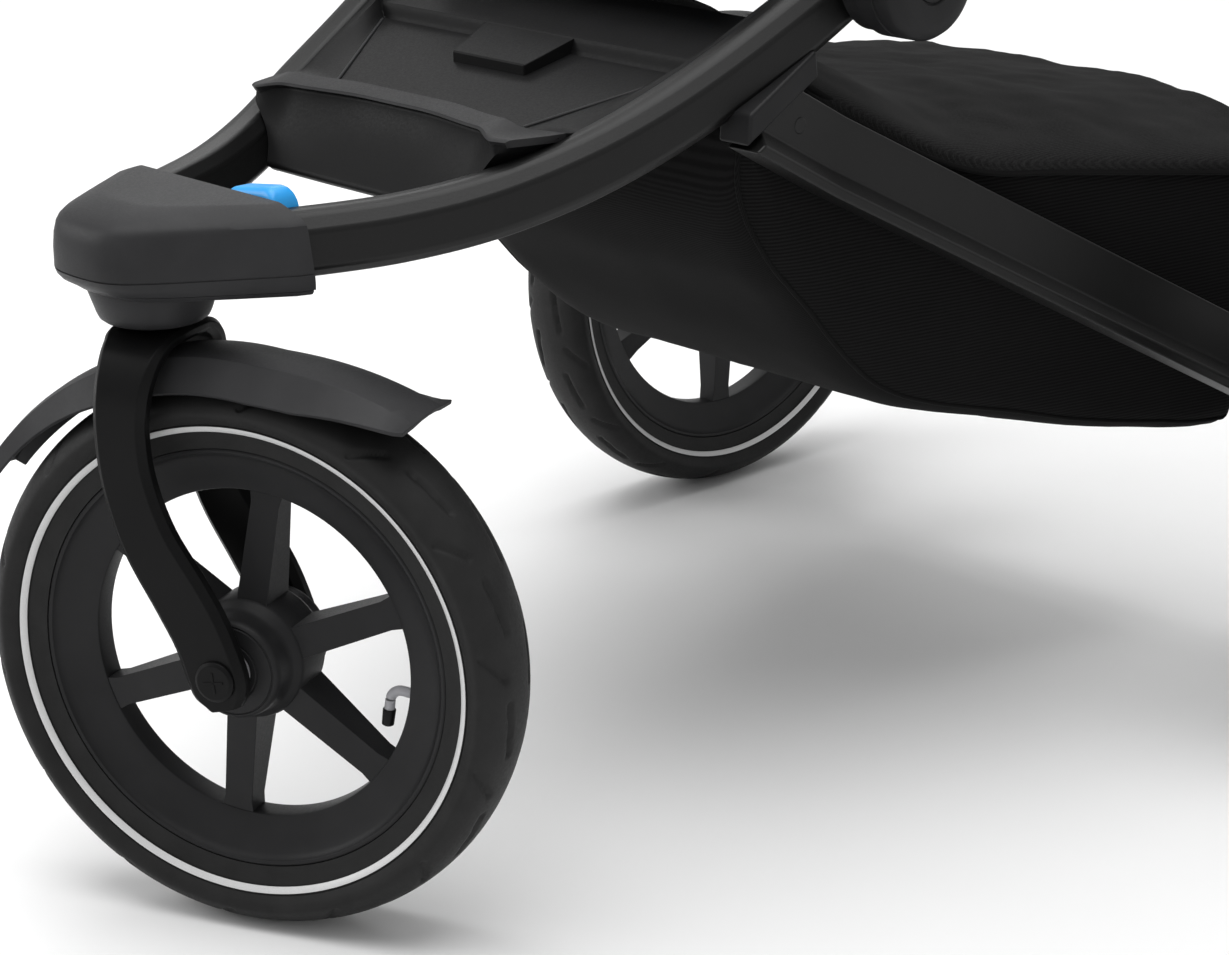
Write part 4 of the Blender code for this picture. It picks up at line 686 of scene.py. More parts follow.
def build_fork():
    """Fork with broad bowed legs and chamfered edges, the axle's end caps, and the stem."""
    middle, half = FORK_INNER + FORK_THICK / 2, FORK_WIDTH / 2
    leg = [
        (middle, TRAIL + 0.0030, FRONT_RADIUS - DROPOUT_RADIUS, half * 0.55),
        (middle, TRAIL, FRONT_RADIUS - DROPOUT_RADIUS * 0.35, half * 0.97),
        (middle, TRAIL - 0.0090, FRONT_RADIUS + 0.0205, half),
        (middle, TRAIL - 0.0205, FRONT_RADIUS + 0.0420, half),
        (middle, TRAIL - 0.0395, FRONT_RADIUS + 0.0735, half * 0.94),
        (middle, TRAIL - 0.0502, FRONT_RADIUS + 0.1055, half * 0.89),
        (middle, TRAIL - 0.0530, FRONT_RADIUS + 0.1345, half * 0.88),
        (middle - 0.0010, TRAIL - 0.0515, CROWN_Z - 0.0240, half * 0.92),
        (middle - 0.0072, TRAIL - 0.0505, CROWN_Z - 0.0105, half * 1.00),
        (middle - 0.0180, TRAIL - 0.0510, CROWN_Z - 0.0028, half * 1.10),
        (middle - 0.0300, TRAIL - 0.0520, CROWN_Z, half * 1.20),
    ]
    path = smooth(leg + [(-x, y, z, w) for x, y, z, w in reversed(leg)], 5)
    rings = []
    for i, station in enumerate(path):
        ahead = (path[min(i + 1, len(path) - 1)] - path[max(i - 1, 0)]).to_3d().normalized()
        broad = (Vector((0, 1, 0)) - ahead * ahead.y).normalized()
        thin = ahead.cross(broad)
        inward = clamped((FORK_INNER + CROWN_BLEND[0] - abs(station.x)) / CROWN_BLEND[1])
        thick = mix(FORK_THICK, CROWN_THICK, inward)
        section = rounded_rectangle(2 * station.w, thick, thick * 0.3, 1)
        rings.append([station.to_3d() + broad * u + thin * v for u, v in section])
    legs = piece("fork_legs", loft(rings), fork_plastic, "fork", "fork", place=AT_FORK, sharp=30)
    bevel(legs, 0.0006, 2, 25)
    face = FORK_INNER + FORK_THICK - AXLE_CAP_SUNK
    end = face + AXLE_CAP_SUNK + AXLE_CAP_PROUD
    cap = inset_from(end, ((0, 0), (AXLE_CAP * 0.84, 0), (AXLE_CAP, 0.0012)))
    axle = lathe(both_faces(cap + [(AXLE_CAP, face), (AXLE_RADIUS, face)]), 64, False)
    caps = piece("front_axle_caps", axle, fork_plastic, "fork", "front_axle", place=AT_AXLE, slot="steel")
    bevel(caps, 0.0004)
    for side_name, side in SIDES:
        mark_cap(side_name, side, end)
    low, high = CROWN_Z - CROWN_THICK / 2, NOSE_HIGH - 0.012
    stem = upright([(0, low), (STEM_RADIUS, low), (STEM_RADIUS, high), (0, high)], 40)
    piece("swivel_stem", stem, steel, "fork", "fork_stem", place=AT_FORK)


def mark_cap(side_name, side, end):
    """A cross of two thin ribs on an axle cap."""
    rib, reach = MARK_RIB, AXLE_CAP * MARK_REACH
    low, high = sorted((side * (end - AXLE_CAP_SUNK), side * (end + MARK_PROUD)))
    shapes = []
    for wide, tall in ((reach, rib), (rib, reach)):
        shapes.append(prism([(-wide, -tall), (wide, -tall), (wide, tall), (-wide, tall)], low, high))
    place = AT_AXLE @ Matrix.Rotation(MARK_TURN, 4, "X")
    bevel(piece("axle_mark_" + side_name, together(*shapes), fork_plastic, "fork", place=place), 0.0002)


def fender_radius(angle):
    if angle < FENDER_LOWEST:
        lift = FENDER_REAR_LIFT * ((FENDER_LOWEST - angle) / (FENDER_LOWEST - FENDER_REAR)) ** 1.5
    else:
        lift = FENDER_FRONT_LIFT * (angle - FENDER_LOWEST) / (FENDER_FRONT - FENDER_LOWEST)
    return FRONT_RADIUS + FENDER_GAP + lift


def build_fender():
    """Mudguard with a slightly crowned top between two creases, sloping sides and a straight cut behind."""
    rows = []
    for share in np.linspace(0, 1, 65):
        angle = mix(FENDER_REAR, FENDER_FRONT, share)
        # The sides are short behind, deepest in the middle and shorter again in front
        skirt = FENDER_SKIRT * min(1, 2.3 * share**0.65 + 0.16, 1.2 * (1 - share) + 0.55)
        half = FENDER_HALF * min(1, 1.6 - share)
        top = fender_radius(angle)
        row = []
        for across, radius in ((half, top - skirt), (FENDER_TOP_HALF, top - FENDER_CROWN),
                               (FENDER_TOP_HALF * 0.5, top - FENDER_CROWN * 0.25), (0, top)):
            row.append(Vector((across, TRAIL + radius * cos(angle), FRONT_RADIUS + radius * sin(angle))))
        rows.append(row + mirrored(row[:-1])[::-1])
    fender = piece("mudguard", grid(rows), fender_plastic, "fork", "front_fender", place=AT_FORK,
                   closed=False, sharp=12)
    bevel(thicken(fender, FENDER_WALL), 0.0005, 2, 14)
    low, high = CROWN_Z - 0.0160, CROWN_Z - 0.0045
    boss = upright([(0, low), (0.012, low), (0.013, high), (0, high)], 40)
    piece("mudguard_boss", boss, fender_plastic, "fork", place=AT_FORK)


def nose_ring(z, broad, long):
    """The nose's plan at a height: a smooth front between square rear corners, drawn in as shares say."""
    side = [(x, y, 0) for x, y in NOSE_PLAN]
    front = smooth(side[1:] + mirrored(side[1:])[::-1], 8)
    plan = [Vector(side[0])] + front + mirrored(side[:1])
    lean, deep = NOSE_LEAN * (z - NOSE_LOW), NOSE_REAR - NOSE_PLAN[-1][1]
    ring = []
    for x, y, _ in plan:
        back = max(0.0, 1 - (NOSE_REAR - y) / deep)
        ring.append(Vector((x * broad, NOSE_REAR + (y - NOSE_REAR) * long - lean * back, z)))
    return ring


def build_nose():
    """Nose housing with its parting line, the lower cover with the swivel collar, and the blue lock lever."""
    levels = (
        (NOSE_LOW, 0.985, 0.90), (NOSE_LOW + 0.003, 0.993, 0.955), (NOSE_LOW + 0.006, 0.998, 0.985),
        (NOSE_SEAM - 0.0006, 1.0, 0.997), (NOSE_SEAM - 0.0004, 0.994, 0.990),
        (NOSE_SEAM + 0.0002, 0.994, 0.990), (NOSE_SEAM + 0.0004, 1.0, 0.999),
        (NOSE_HIGH - 0.0250, 1.0, 0.998), (NOSE_HIGH - 0.0175, 1.0, 0.988),
        (NOSE_HIGH - 0.0120, 1.0, 0.968), (NOSE_HIGH - 0.0092, 0.995, 0.945),
        (NOSE_HIGH - 0.0072, 0.975, 0.915), (NOSE_HIGH - 0.0042, 0.905, 0.840),
        (NOSE_HIGH - 0.0016, 0.808, 0.735), (NOSE_HIGH - 0.0005, 0.765, 0.685), (NOSE_HIGH, 0.735, 0.650),
    )
    shell = loft([nose_ring(*level) for level in levels])
    piece("nose_shell", shell, nose_plastic, "chassis", "nose_housing", sharp=26)
    low = NOSE_LOW - NOSE_COVER
    levels = ((low - 0.0010, 0.880, 0.790), (low, 0.950, 0.850), (NOSE_LOW - 0.0003, 0.980, 0.893))
    collar = upright([
        (0, low + 0.002), (0.0352, low + 0.002), (0.0352, low - 0.002), (0.0312, COLLAR_LOW + 0.0060),
        (0.0298, COLLAR_LOW + 0.0030), (0.0272, COLLAR_LOW + 0.0010), (0.0240, COLLAR_LOW), (0, COLLAR_LOW),
    ], 72)
    cover = together(loft([nose_ring(*level) for level in levels]), collar)
    bevel(piece("nose_underside", cover, nose_plastic, "chassis", "nose_lower_cover", sharp=30), 0.0008)
    build_lever()


def build_lever():
    """Swivel-lock lever behind the nose: a rounded thumb tongue whose top rises towards one side."""
    rings = []
    for share in np.linspace(0, 1, 33):
        x = mix(*LEVER_X, share)
        end = max(0.01, 1 - max(0.0, (share - LEVER_ROUND) / (1 - LEVER_ROUND)) ** 2.4) ** 0.5
        high = (mix(*LEVER_TOP, share) - LEVER_LOW) * end * max(0.05, ease(share, -0.04, 0.12))
        section = rounded_rectangle(LEVER_REAR - LEVER_FRONT, high, high * 0.42, 5)
        rings.append([(x, (LEVER_FRONT + LEVER_REAR) / 2 + u, LEVER_LOW + high / 2 + v) for u, v in section])
    piece("lock_lever", loft(rings), blue_plastic, "swivel_lock", "swivel_lock_lever", sharp=60)


# Frame

TUBE_WIDE, TUBE_HIGH = 0.0290, 0.0360
FRONT_TUBE_ROUTE = [
    (0.0505, 0.0250, 0.3865), (0.0605, 0.0470, 0.3870), (0.0850, 0.1010, 0.3905), (0.1090, 0.1520, 0.4005),
    (0.1320, 0.2050, 0.4195), (0.1490, 0.2650, 0.4470), (0.1630, 0.3310, 0.4840), (0.1690, 0.3900, 0.5190),
]
LEG_PIVOT = Vector((0.165, 0.3248, 0.4258))
LEG_END = Vector((0.262, 0.767, 0.1875))
LEG_ABOVE, LEG_BELOW, LEG_WEB, LEG_FLANGE = 0.018, 0.029, 0.009, 0.015
LEG_STRAIGHT, LEG_SHARE = 0.07, 0.90
SLOPE_START, SLOPE_END = FRONT_TUBE_ROUTE[5:7]
TUBE_SLOPE = atan2(SLOPE_END[2] - SLOPE_START[2], SLOPE_END[1] - SLOPE_START[1])
LEG_SLANT = TUBE_SLOPE - atan2(LEG_END.z - LEG_PIVOT.z, LEG_END.y - LEG_PIVOT.y)
LEG_END_GAP = 0.0193
SADDLE_PLAY, SADDLE_THICK, SADDLE_BACK, SADDLE_RAKE = 0.0006, 0.015, (0.018, 0.024), 0.010
SADDLE_NEAR, SADDLE_FAR, CHEEK_RADIUS, CHEEK_THICK = 0.0101, 0.0138, 0.0095, 0.005
LEG_PIN, LEG_PIN_FACE, LEG_PIN_PROUD = 0.0049, 0.0044, 0.0004
UPPER_ANGLE, UPPER_LENGTH, UPPER_RADIUS = radians(46), 0.600, 0.0135
FOLD_RADIUS, FOLD_BASE, FOLD_COVER, FOLD_PLAY = 0.037, 0.012, 0.028, 0.0006
HANDLE_ANGLE, HANDLE_LENGTH, HANDLE_CORNER, HANDLE_RADIUS = radians(27), 0.190, 0.060, 0.0110
GRIP_RADIUS, PIVOT_RADIUS, PIVOT_WIDE = 0.0165, 0.0240, 0.034
TUBE_BITE = 0.004
HUB_FACE = FRONT_TUBE_ROUTE[-1][0] + TUBE_WIDE / 2 + 0.0008
COVER_FACE = HUB_FACE + FOLD_BASE + FOLD_PLAY
HUB_END = COVER_FACE + FOLD_COVER
UPPER_X = (COVER_FACE + HUB_END) / 2


def upper_point(x, along):
    return Vector((x, HUB_Y + along * cos(UPPER_ANGLE), HUB_Z + along * sin(UPPER_ANGLE)))


def handle_point(x, along):
    pivot = upper_point(x, UPPER_LENGTH)
    return pivot + Vector((0, along * cos(HANDLE_ANGLE), along * sin(HANDLE_ANGLE)))


def leg_point(share, rise=0.0, out=0.0):
    run = LEG_END - LEG_PIVOT
    up = Vector((0, -run.z, run.y)).normalized()
    splay = max(0.0, share - LEG_STRAIGHT) / (1 - LEG_STRAIGHT) * run.x
    return LEG_PIVOT + Vector((splay + out, run.y * share, run.z * share)) + up * rise


def leg_ring(share):
    web, low = LEG_WEB / 2, -LEG_BELOW
    length = (LEG_END - LEG_PIVOT).yz.length
    section = [
        (LEG_ABOVE, -web), (LEG_ABOVE, web), (low + 0.016, web), (low + 0.006, web + LEG_FLANGE),
        (low, web + LEG_FLANGE), (low, -web),
    ]
    ring = []
    for rise, out in section:
        along = share if share else (rise / tan(LEG_SLANT) - LEG_END_GAP / sin(LEG_SLANT)) / length
        ring.append(leg_point(along, rise, out))
    return ring


def tube_section(side):
    """A front tube's section: upright sides, a sloping facet at the top outside and a small one below it."""
    out, up = TUBE_WIDE / 2, TUBE_HIGH / 2
    section = [
        (-out, -up + 0.007), (-out, up - 0.008), (-out + 0.0065, up - 0.0005), (0.0015, up),
        (0.0070, up - 0.0018), (out - 0.0006, up - 0.0098), (out, -up + 0.0062), (out - 0.0062, -up),
        (-out + 0.007, -up),
    ]
    return [(side * u, v) for u, v in section]


def build_frame():
    """Front tubes, rear legs, upper tubes, the fold hubs and the handlebar."""
    for name, side in SIDES:
        tube = sweep(smooth(on_side(FRONT_TUBE_ROUTE, side), 10), tube_section(side))
        made = piece("front_frame_tube_" + name, tube, paint, "chassis", "front_tube_" + name, sharp=20)
        bevel(made, 0.0030, 4, 20)
        leg = loft([on_side(leg_ring(share), side) for share in (0, LEG_STRAIGHT, LEG_SHARE)])
        made = piece("rear_frame_leg_" + name, leg, paint, "rear_frame", "rear_leg_" + name, sharp=30)
        bevel(made, 0.0016, 3, 20)
        ends = (FOLD_RADIUS - TUBE_BITE, UPPER_LENGTH - PIVOT_RADIUS + TUBE_BITE)
        tube = sweep([upper_point(side * UPPER_X, end) for end in ends], circle(UPPER_RADIUS, 40))
        piece("upper_frame_tube_" + name, tube, paint, "upper_frame", "upper_tube_" + name)
        build_hub(name, side)
        build_handle_pivot(name, side)
        build_leg_bracket(name, side)
    build_handlebar()
    dress(hub_plastic, "axle_bracket_left", "axle_bracket_right", edge=0.0025)
    dress(paint, "rear_axle_tube", "seat_cross_tube", "seat_back_frame", edge=0.0003)
    dress(steel, "rear_axle", "brake_pin_left", "brake_pin_right", edge=0.0002)
    dress(black_plastic, "brake_pedal", edge=0.0015)
    dress(blue_plastic, "fold_release_lever", "release_button_left", "release_button_right", edge=0.0012)


def build_leg_bracket(name, side):
    """Cast saddle between a front tube and a leg: a block, a cheek inside the leg and the pivot's pin."""
    corner = LEG_ABOVE / tan(LEG_SLANT) - LEG_END_GAP / sin(LEG_SLANT)
    low = (corner**2 + LEG_ABOVE**2) ** 0.5 + SADDLE_PLAY
    high, cheek = low + SADDLE_THICK, CHEEK_RADIUS
    ahead = LEG_BELOW / sin(LEG_SLANT) + LEG_END_GAP / tan(LEG_SLANT)

    def place(along, up):
        return (LEG_PIVOT.y + along * cos(TUBE_SLOPE) - up * sin(TUBE_SLOPE),
                LEG_PIVOT.z + along * sin(TUBE_SLOPE) + up * cos(TUBE_SLOPE))

    foot, top = SADDLE_BACK
    corners = ((-ahead, low), (foot, low), (top, high), (SADDLE_RAKE - ahead, high))
    block = [place(*point) for point in corners]
    eye = [place(cheek * cos(t), cheek * sin(t)) for t in np.linspace(pi, 2 * pi, 17)]
    eye += [place(cheek, low + 0.003), place(-cheek, low + 0.003)]
    near, far, out = LEG_PIVOT.x - SADDLE_NEAR, LEG_PIVOT.x + SADDLE_FAR, LEG_PIVOT.x + LEG_WEB / 2
    shapes = [prism(block, side * near, side * far), prism(eye, side * near, side * (near + CHEEK_THICK))]
    saddle = piece("leg_saddle_" + name, together(*shapes), bracket_metal, "chassis", "leg_bracket_" + name)
    bevel(saddle, 0.0022, 3)
    end = out + LEG_PIN_PROUD
    pin = [(0, end), (LEG_PIN_FACE, end), (LEG_PIN, out), (LEG_PIN, near), (0, near)]
    piece("leg_pin_" + name, lathe(sided(pin, side), 40, False), paint, "chassis",
          place=at((0, LEG_PIVOT.y, LEG_PIVOT.z)), slot="steel")


def build_hub(name, side):
    """Fold hub: a base on the front tube and a stepped round cover with a plain centre cap."""
    place = at((0, HUB_Y, HUB_Z))
    base = inset_from(COVER_FACE - FOLD_PLAY, ((0, 0), (0.034, 0), (0.035, 0.001)))
    base = lathe(sided(base + [(0.035, HUB_FACE), (0, HUB_FACE)], side), 72, False)
    piece("hub_inner_" + name, base, hub_plastic, "chassis", "hub_base_" + name, place=place)
    rim, bore = FOLD_RADIUS, COVER_FACE + 0.004
    steps = (
        (0, 0.0012), (0.0150, 0.0012), (0.0155, 0.0020), (0.0163, 0.0020), (0.0168, 0.0004), (0.0260, 0),
        (0.0320, 0.0008), (0.0350, 0.0026), (rim, 0.0060), (rim, 0.0150), (rim - 0.0008, 0.0154),
        (rim - 0.0008, 0.0164), (rim, 0.0168),
    )
    cover = inset_from(HUB_END, steps) + [(rim, COVER_FACE), (0.0085, COVER_FACE), (0.0085, bore), (0, bore)]
    cover = lathe(sided(cover, side), 96, False)
    piece("hub_outer_" + name, cover, hub_plastic, "upper_frame", "hub_cover_" + name, place=place)


def build_handle_pivot(name, side):
    """Pivot housing of the handlebar: a stepped drum with a grooved rim."""
    place = at(upper_point(side * UPPER_X, UPPER_LENGTH))
    rim = PIVOT_RADIUS
    steps = ((0, 0), (0.0145, 0), (0.0150, 0.0008), (0.0158, 0.0008), (0.0163, 0), (0.0215, 0), (rim, 0.0028))
    profile = inset_from(PIVOT_WIDE / 2, steps) + [(rim, 0.0008), (rim - 0.0008, 0.0004)]
    drum = lathe(both_faces(profile), 72)
    piece("handle_hub_" + name, drum, hub_plastic, "upper_frame", "handle_pivot_" + name, place=place)


def build_handlebar():
    """Bent push bar and its ribbed foam grip."""
    inner, curve = UPPER_X - HANDLE_CORNER, HANDLE_CORNER
    angles = np.linspace(0, pi / 2, 13)
    turn = [(inner + curve * cos(t), HANDLE_LENGTH - curve * (1 - sin(t))) for t in angles]
    route = [handle_point(x, along) for x, along in [(UPPER_X, PIVOT_RADIUS - TUBE_BITE)] + turn]
    bar = sweep(route + mirrored(route)[::-1], circle(HANDLE_RADIUS, 32))
    piece("push_bar", bar, paint, "handlebar", "handlebar", sharp=60)
    half = inner - 0.004
    profile = [(HANDLE_RADIUS + 0.0003, half), (GRIP_RADIUS - 0.0015, half), (GRIP_RADIUS, half - 0.0020)]
    for ring in np.linspace(half - 0.010, 0.006, 14):
        profile += [(GRIP_RADIUS, ring + 0.0012), (GRIP_RADIUS - 0.0005, ring), (GRIP_RADIUS, ring - 0.0012)]
    grip = lathe(both_faces(profile), 48)
    place = at(handle_point(0, HANDLE_LENGTH))
    piece("push_bar_grip", grip, foam, "handlebar", "handlebar_grip", place=place, sharp=60)


# Footrest

FOOT_LIP_HALF, FOOT_LIP_SPLAY, FOOT_LIP_Y, FOOT_LIP_BACK = 0.111, 0.35, 0.168, 0.180
FOOT_LIP_Z, FOOT_LIP_RISE, LIP_ROUNDING = 0.4365, 0.0040, 0.0012
LIP_BOW, LIP_SWEEP = (0.0095, 0.020, 0.090), (0.0085, 0.080, 0.106)
LIP_CORNER, LIP_DROPS = (0.0045, 0.1035, FOOT_LIP_HALF), 0.085
LIP_BACK_BOW, LIP_BACK_TURN = (0.008, 0.030, 0.085), (0.018, 0.095, FOOT_LIP_HALF)
DECK_BITE, DECK_NARROWS, DECK_REAR_ROWS = 0.007, (0.176, 0.212), 0.278
RIB_FRONT_Y, RIB_RADIUS, RIB_PROUD = 0.194, 0.0011, 0.0002
FOOT_FIELD_Y, FOOT_FIELD_Z, FOOT_SLOPE, FOOT_REAR_Y = 0.198, 0.4318, 0.32, 0.326
FOOT_WALL, FOOT_FALL, LIP_END_DROP = 0.0042, 0.003, (0.0030, 0.0035)
FOOT_STEP_Y, FOOT_STEP, FOOT_STEP_RUN = 0.2715, 0.0085, 0.003
FACET_X, FACET_Y, FACET_SPLAY, FACET_DROP = 0.084, 0.196, 0.60, 0.002
APRON_LOW, APRON_FRONT, APRON_WALL, APRON_HALF = 0.392, 0.138, 0.0032, (0.1110, 0.078)
TAB_FRONT_Y, TAB_HALF, TAB_HIGH = 0.2415, (0.0310, 0.0385), 0.0064


def tube_at(y):
    """Half the space between the front tubes and the height of their tops, somewhere behind the stem."""
    for before, after in zip(FRONT_TUBE_ROUTE, FRONT_TUBE_ROUTE[1:]):
        if y <= after[1]:
            break
    share = (y - before[1]) / (after[1] - before[1])
    slope = (after[0] - before[0]) / (after[1] - before[1])
    gap = mix(before[0], after[0], share) - TUBE_WIDE / 2 * (1 + slope**2) ** 0.5
    return gap, mix(before[2], after[2], share) + TUBE_HIGH / 2


def facet_start(y):
    return FACET_X + FACET_SPLAY * (y - FACET_Y)


def toward_ends(x, amount, start, stop):
    """An amount that sets in between two distances from the middle."""
    return amount * ease(abs(x), start, stop)


def lip_front(x):
    """The lip's front edge in plan: bowed in the middle, swept forward to its ends and rounded at them."""
    return FOOT_LIP_Y - (toward_ends(x, *LIP_BOW) + toward_ends(x, *LIP_SWEEP)) + toward_ends(x, *LIP_CORNER)


def lip_back(x):
    """The lip's rear edge in plan, which turns back along the tubes."""
    return FOOT_LIP_BACK - toward_ends(x, *LIP_BACK_BOW) + toward_ends(x, *LIP_BACK_TURN)


def lip_height(x, share):
    """The lip's top, which rises from its front edge to its rear edge and comes down over the tubes."""
    rounding = LIP_ROUNDING * max(0.0, 1 - share / 0.10) ** 2
    drop = toward_ends(x, LIP_END_DROP[0] + LIP_END_DROP[1] * share, LIP_DROPS, FOOT_LIP_HALF)
    return FOOT_LIP_Z + FOOT_LIP_RISE * share - rounding - drop


def deck_edge(y):
    """Half width of the footrest: over the tubes in front, then let into the tubes' sides."""
    over = FOOT_LIP_HALF + FOOT_LIP_SPLAY * (y - lip_front(FOOT_LIP_HALF))
    return mix(over, tube_at(y)[0] + DECK_BITE, ease(y, *DECK_NARROWS))


def deck_height(x, y):
    """The footrest's field behind the lip: a plane with a step behind and facets that rise to the tubes."""
    gap, tube_top = tube_at(y)
    field = FOOT_FIELD_Z + FOOT_SLOPE * (y - FOOT_FIELD_Y)
    start = min(gap - 0.004, facet_start(y))
    facet_top = max(tube_top - FACET_DROP, FOOT_LIP_Z - LIP_END_DROP[0])
    facet = clamped((abs(x) - start) / (gap - start)) * max(0.0, facet_top - field)
    step = FOOT_STEP * ease(y, FOOT_STEP_Y, FOOT_STEP_Y + FOOT_STEP_RUN)
    return field + max(facet, step)


def build_footrest():
    """Moulded footrest: a swept lip over a hollow apron, a sunk field with a step, and a bare tab on it."""
    across = np.linspace(-1, 1, 161)
    lip_shares = (0.0, 0.03, 0.08, 0.15, 0.4, 0.7, 0.95, 1.0)
    step_shares = (-0.1, 0.0, 0.15, 0.35, 0.5, 0.65, 0.85, 1.0, 1.1)
    rear_rows = [FOOT_STEP_Y + FOOT_STEP_RUN * share for share in step_shares]
    rear_rows += list(np.linspace(DECK_REAR_ROWS, FOOT_REAR_Y, 9))
    columns = []
    for u in across:
        plan_x = u * FOOT_LIP_HALF
        front, back = lip_front(plan_x), lip_back(plan_x)
        start = back + FOOT_FALL
        column = []
        for share in lip_shares:
            y = mix(front, back, share)
            column.append((u * deck_edge(y), y, lip_height(plan_x, share)))
        for share in (0.35, 0.7, 1.0):
            y = back + FOOT_FALL * share
            x = u * deck_edge(y)
            column.append((x, y, mix(lip_height(plan_x, 1), deck_height(x, y), ease(share, 0, 1))))
        for y in [mix(start, FOOT_STEP_Y - 0.003, share) for share in np.linspace(0.05, 1, 20)] + rear_rows:
            x = u * deck_edge(y)
            column.append((x, y, deck_height(x, y)))
        columns.append([Vector(point) for point in column])
    rows = list(zip(*columns))
    deck = piece("footrest_panel", grid(rows), shaded_footrest_plastic, "chassis", "footrest", closed=False,
                 sharp=24)
    # The lip's faces take the lighter copy, which is painted light; the rest of the deck keeps the darker
    # copy, which is painted shade
    deck.data.materials.append(lit_lip_plastic)
    lit_lip_faces = (len(lip_shares) - 1) * (len(across) - 1)
    for face in deck.data.polygons:
        face.material_index = int(face.index < lit_lip_faces)
    for name, side in SIDES:
        # The ribs take the lighter copy of the plastic: painted light along the start of the facets
        ribs = [(facet_start(y), y) for y in np.linspace(RIB_FRONT_Y, FOOT_STEP_Y - 0.002, 20)]
        route = [(side * x, y, deck_height(x, y) + RIB_PROUD) for x, y in ribs]
        piece("footrest_rib_" + name, sweep(route, circle(RIB_RADIUS, 10)), lit_lip_plastic, "chassis", sharp=60)
    bevel(thicken(deck, FOOT_WALL), 0.0008, 2, 50)
    build_apron()
    build_tab()


def build_apron():
    """Hollow apron that hangs from the lip between the tubes and sweeps forward at its foot."""
    rows = []
    for share in np.linspace(0, 1, 17):
        half = mix(*APRON_HALF, share)
        row = []
        for u in np.linspace(-1, 1, 61):
            edge = lip_front(half * u) + APRON_WALL - 0.0003
            height = lip_height(half * u, 0) - 0.0006
            row.append(Vector((half * u, mix(edge, APRON_FRONT, share**1.6), mix(height, APRON_LOW, share))))
        wing = [row[-1] + Vector((FOOT_LIP_SPLAY * back, back, 0)) for back in (0.006, 0.012, 0.020, 0.028)]
        rows.append(mirrored(wing)[::-1] + row + wing)
    apron = piece("footrest_apron", grid(rows), shaded_footrest_plastic, "chassis", closed=False, sharp=60)
    thicken(apron, APRON_WALL, 1.0)


def build_tab():
    """Bare raised tab in the middle of the field, which runs up to the level behind the step."""
    front, rear = TAB_HALF
    rear_y = FOOT_STEP_Y + FOOT_STEP_RUN
    edge = [(front, TAB_FRONT_Y), (rear, rear_y), (rear, rear_y + 0.004)]
    outline = [(-x, y) for x, y in reversed(edge)] + edge
    low, high = deck_height(0, TAB_FRONT_Y) + TAB_HIGH, deck_height(0, rear_y) + 0.0003
    rings = []
    for drop in (0.014, 0.0):
        ring = []
        for x, y in outline:
            share = min(1.0, (y - TAB_FRONT_Y) / (rear_y - TAB_FRONT_Y))
            ring.append((x, y, mix(low, high, share) - drop))
        rings.append(ring)
    bevel(piece("footrest_tab", loft(rings), shaded_footrest_plastic, "chassis", sharp=30), 0.0010, 3, 30)


# Soft goods

BASKET_STATIONS = [
    (0.298, 0.1546, 0.4400, 0.1500, 0.4240), (0.306, 0.1546, 0.4430, 0.1500, 0.3740),
    (0.330, 0.1546, 0.4500, 0.1500, 0.3330), (0.362, 0.1546, 0.4350, 0.1500, 0.3010),
    (0.400, 0.1600, 0.4150, 0.1500, 0.2620), (0.441, 0.1700, 0.3950, 0.1500, 0.2315),
    (0.481, 0.1780, 0.3830, 0.1530, 0.2150), (0.540, 0.1870, 0.3755, 0.1590, 0.1990),
    (0.620, 0.1970, 0.3645, 0.1700, 0.1775), (0.700, 0.2060, 0.3535, 0.1820, 0.1610),
    (0.733, 0.2085, 0.3500, 0.1880, 0.1570), (0.746, 0.2095, 0.3490, 0.1900, 0.1600),
    (0.7515, 0.2100, 0.3485, 0.1910, 0.1900), (0.7530, 0.2100, 0.3480, 0.1920, 0.2500),
]
BASKET_STEPS, BASKET_SEAM, BASKET_SAG, CLOTH_WALL = 6, 3, 0.006, 0.0016
HEM_RADIUS, PIPING_RADIUS = 0.0022, 0.0016
COVER_FRONT, COVER_CROWN, COVER_WALL, COVER_LAP, COVER_SKIRT = 0.330, 0.036, 0.004, 0.0040, 0.010
COVER_WIDENS, COVER_PIPING = (0.345, 0.380), 0.0018


def ripple(x, y, z, scale, seed):
    """Smooth noise between -1 and 1, at a real scale."""
    return noise.noise(Vector((x / scale + seed, y / scale, z / scale)))


def basket_section(y, top_half, top, foot_half, foot):
    rise = min(0.03, (top - foot) * 0.4)
    sag = BASKET_SAG if foot < REAR_RADIUS else 0.0
    half = [
        (top_half, y, top), (top_half * 0.52 + foot_half * 0.48, y, top * 0.5 + foot * 0.5),
        (foot_half, y, foot + rise), (foot_half - rise * 0.3, y, foot + rise * 0.3),
        (foot_half - rise, y, foot), (foot_half * 0.5, y, foot - sag * 0.7),
    ]
    return half + [(0, y, foot - sag)] + mirrored(half)[::-1]


def smooth_rows(rows, steps):
    columns = [smooth(column, steps) for column in zip(*rows)]
    return [list(row) for row in zip(*columns)]


def slack(point):
    """A point of the basket, let in and out by the cloth's slackness."""
    give = 0.0022 * ripple(*point, 0.055, 3) + 0.0010 * ripple(*point, 0.022, 9)
    inward = 1 if point.x > 0 else -1
    return point + Vector((-inward * abs(give), 0, give * 0.5))


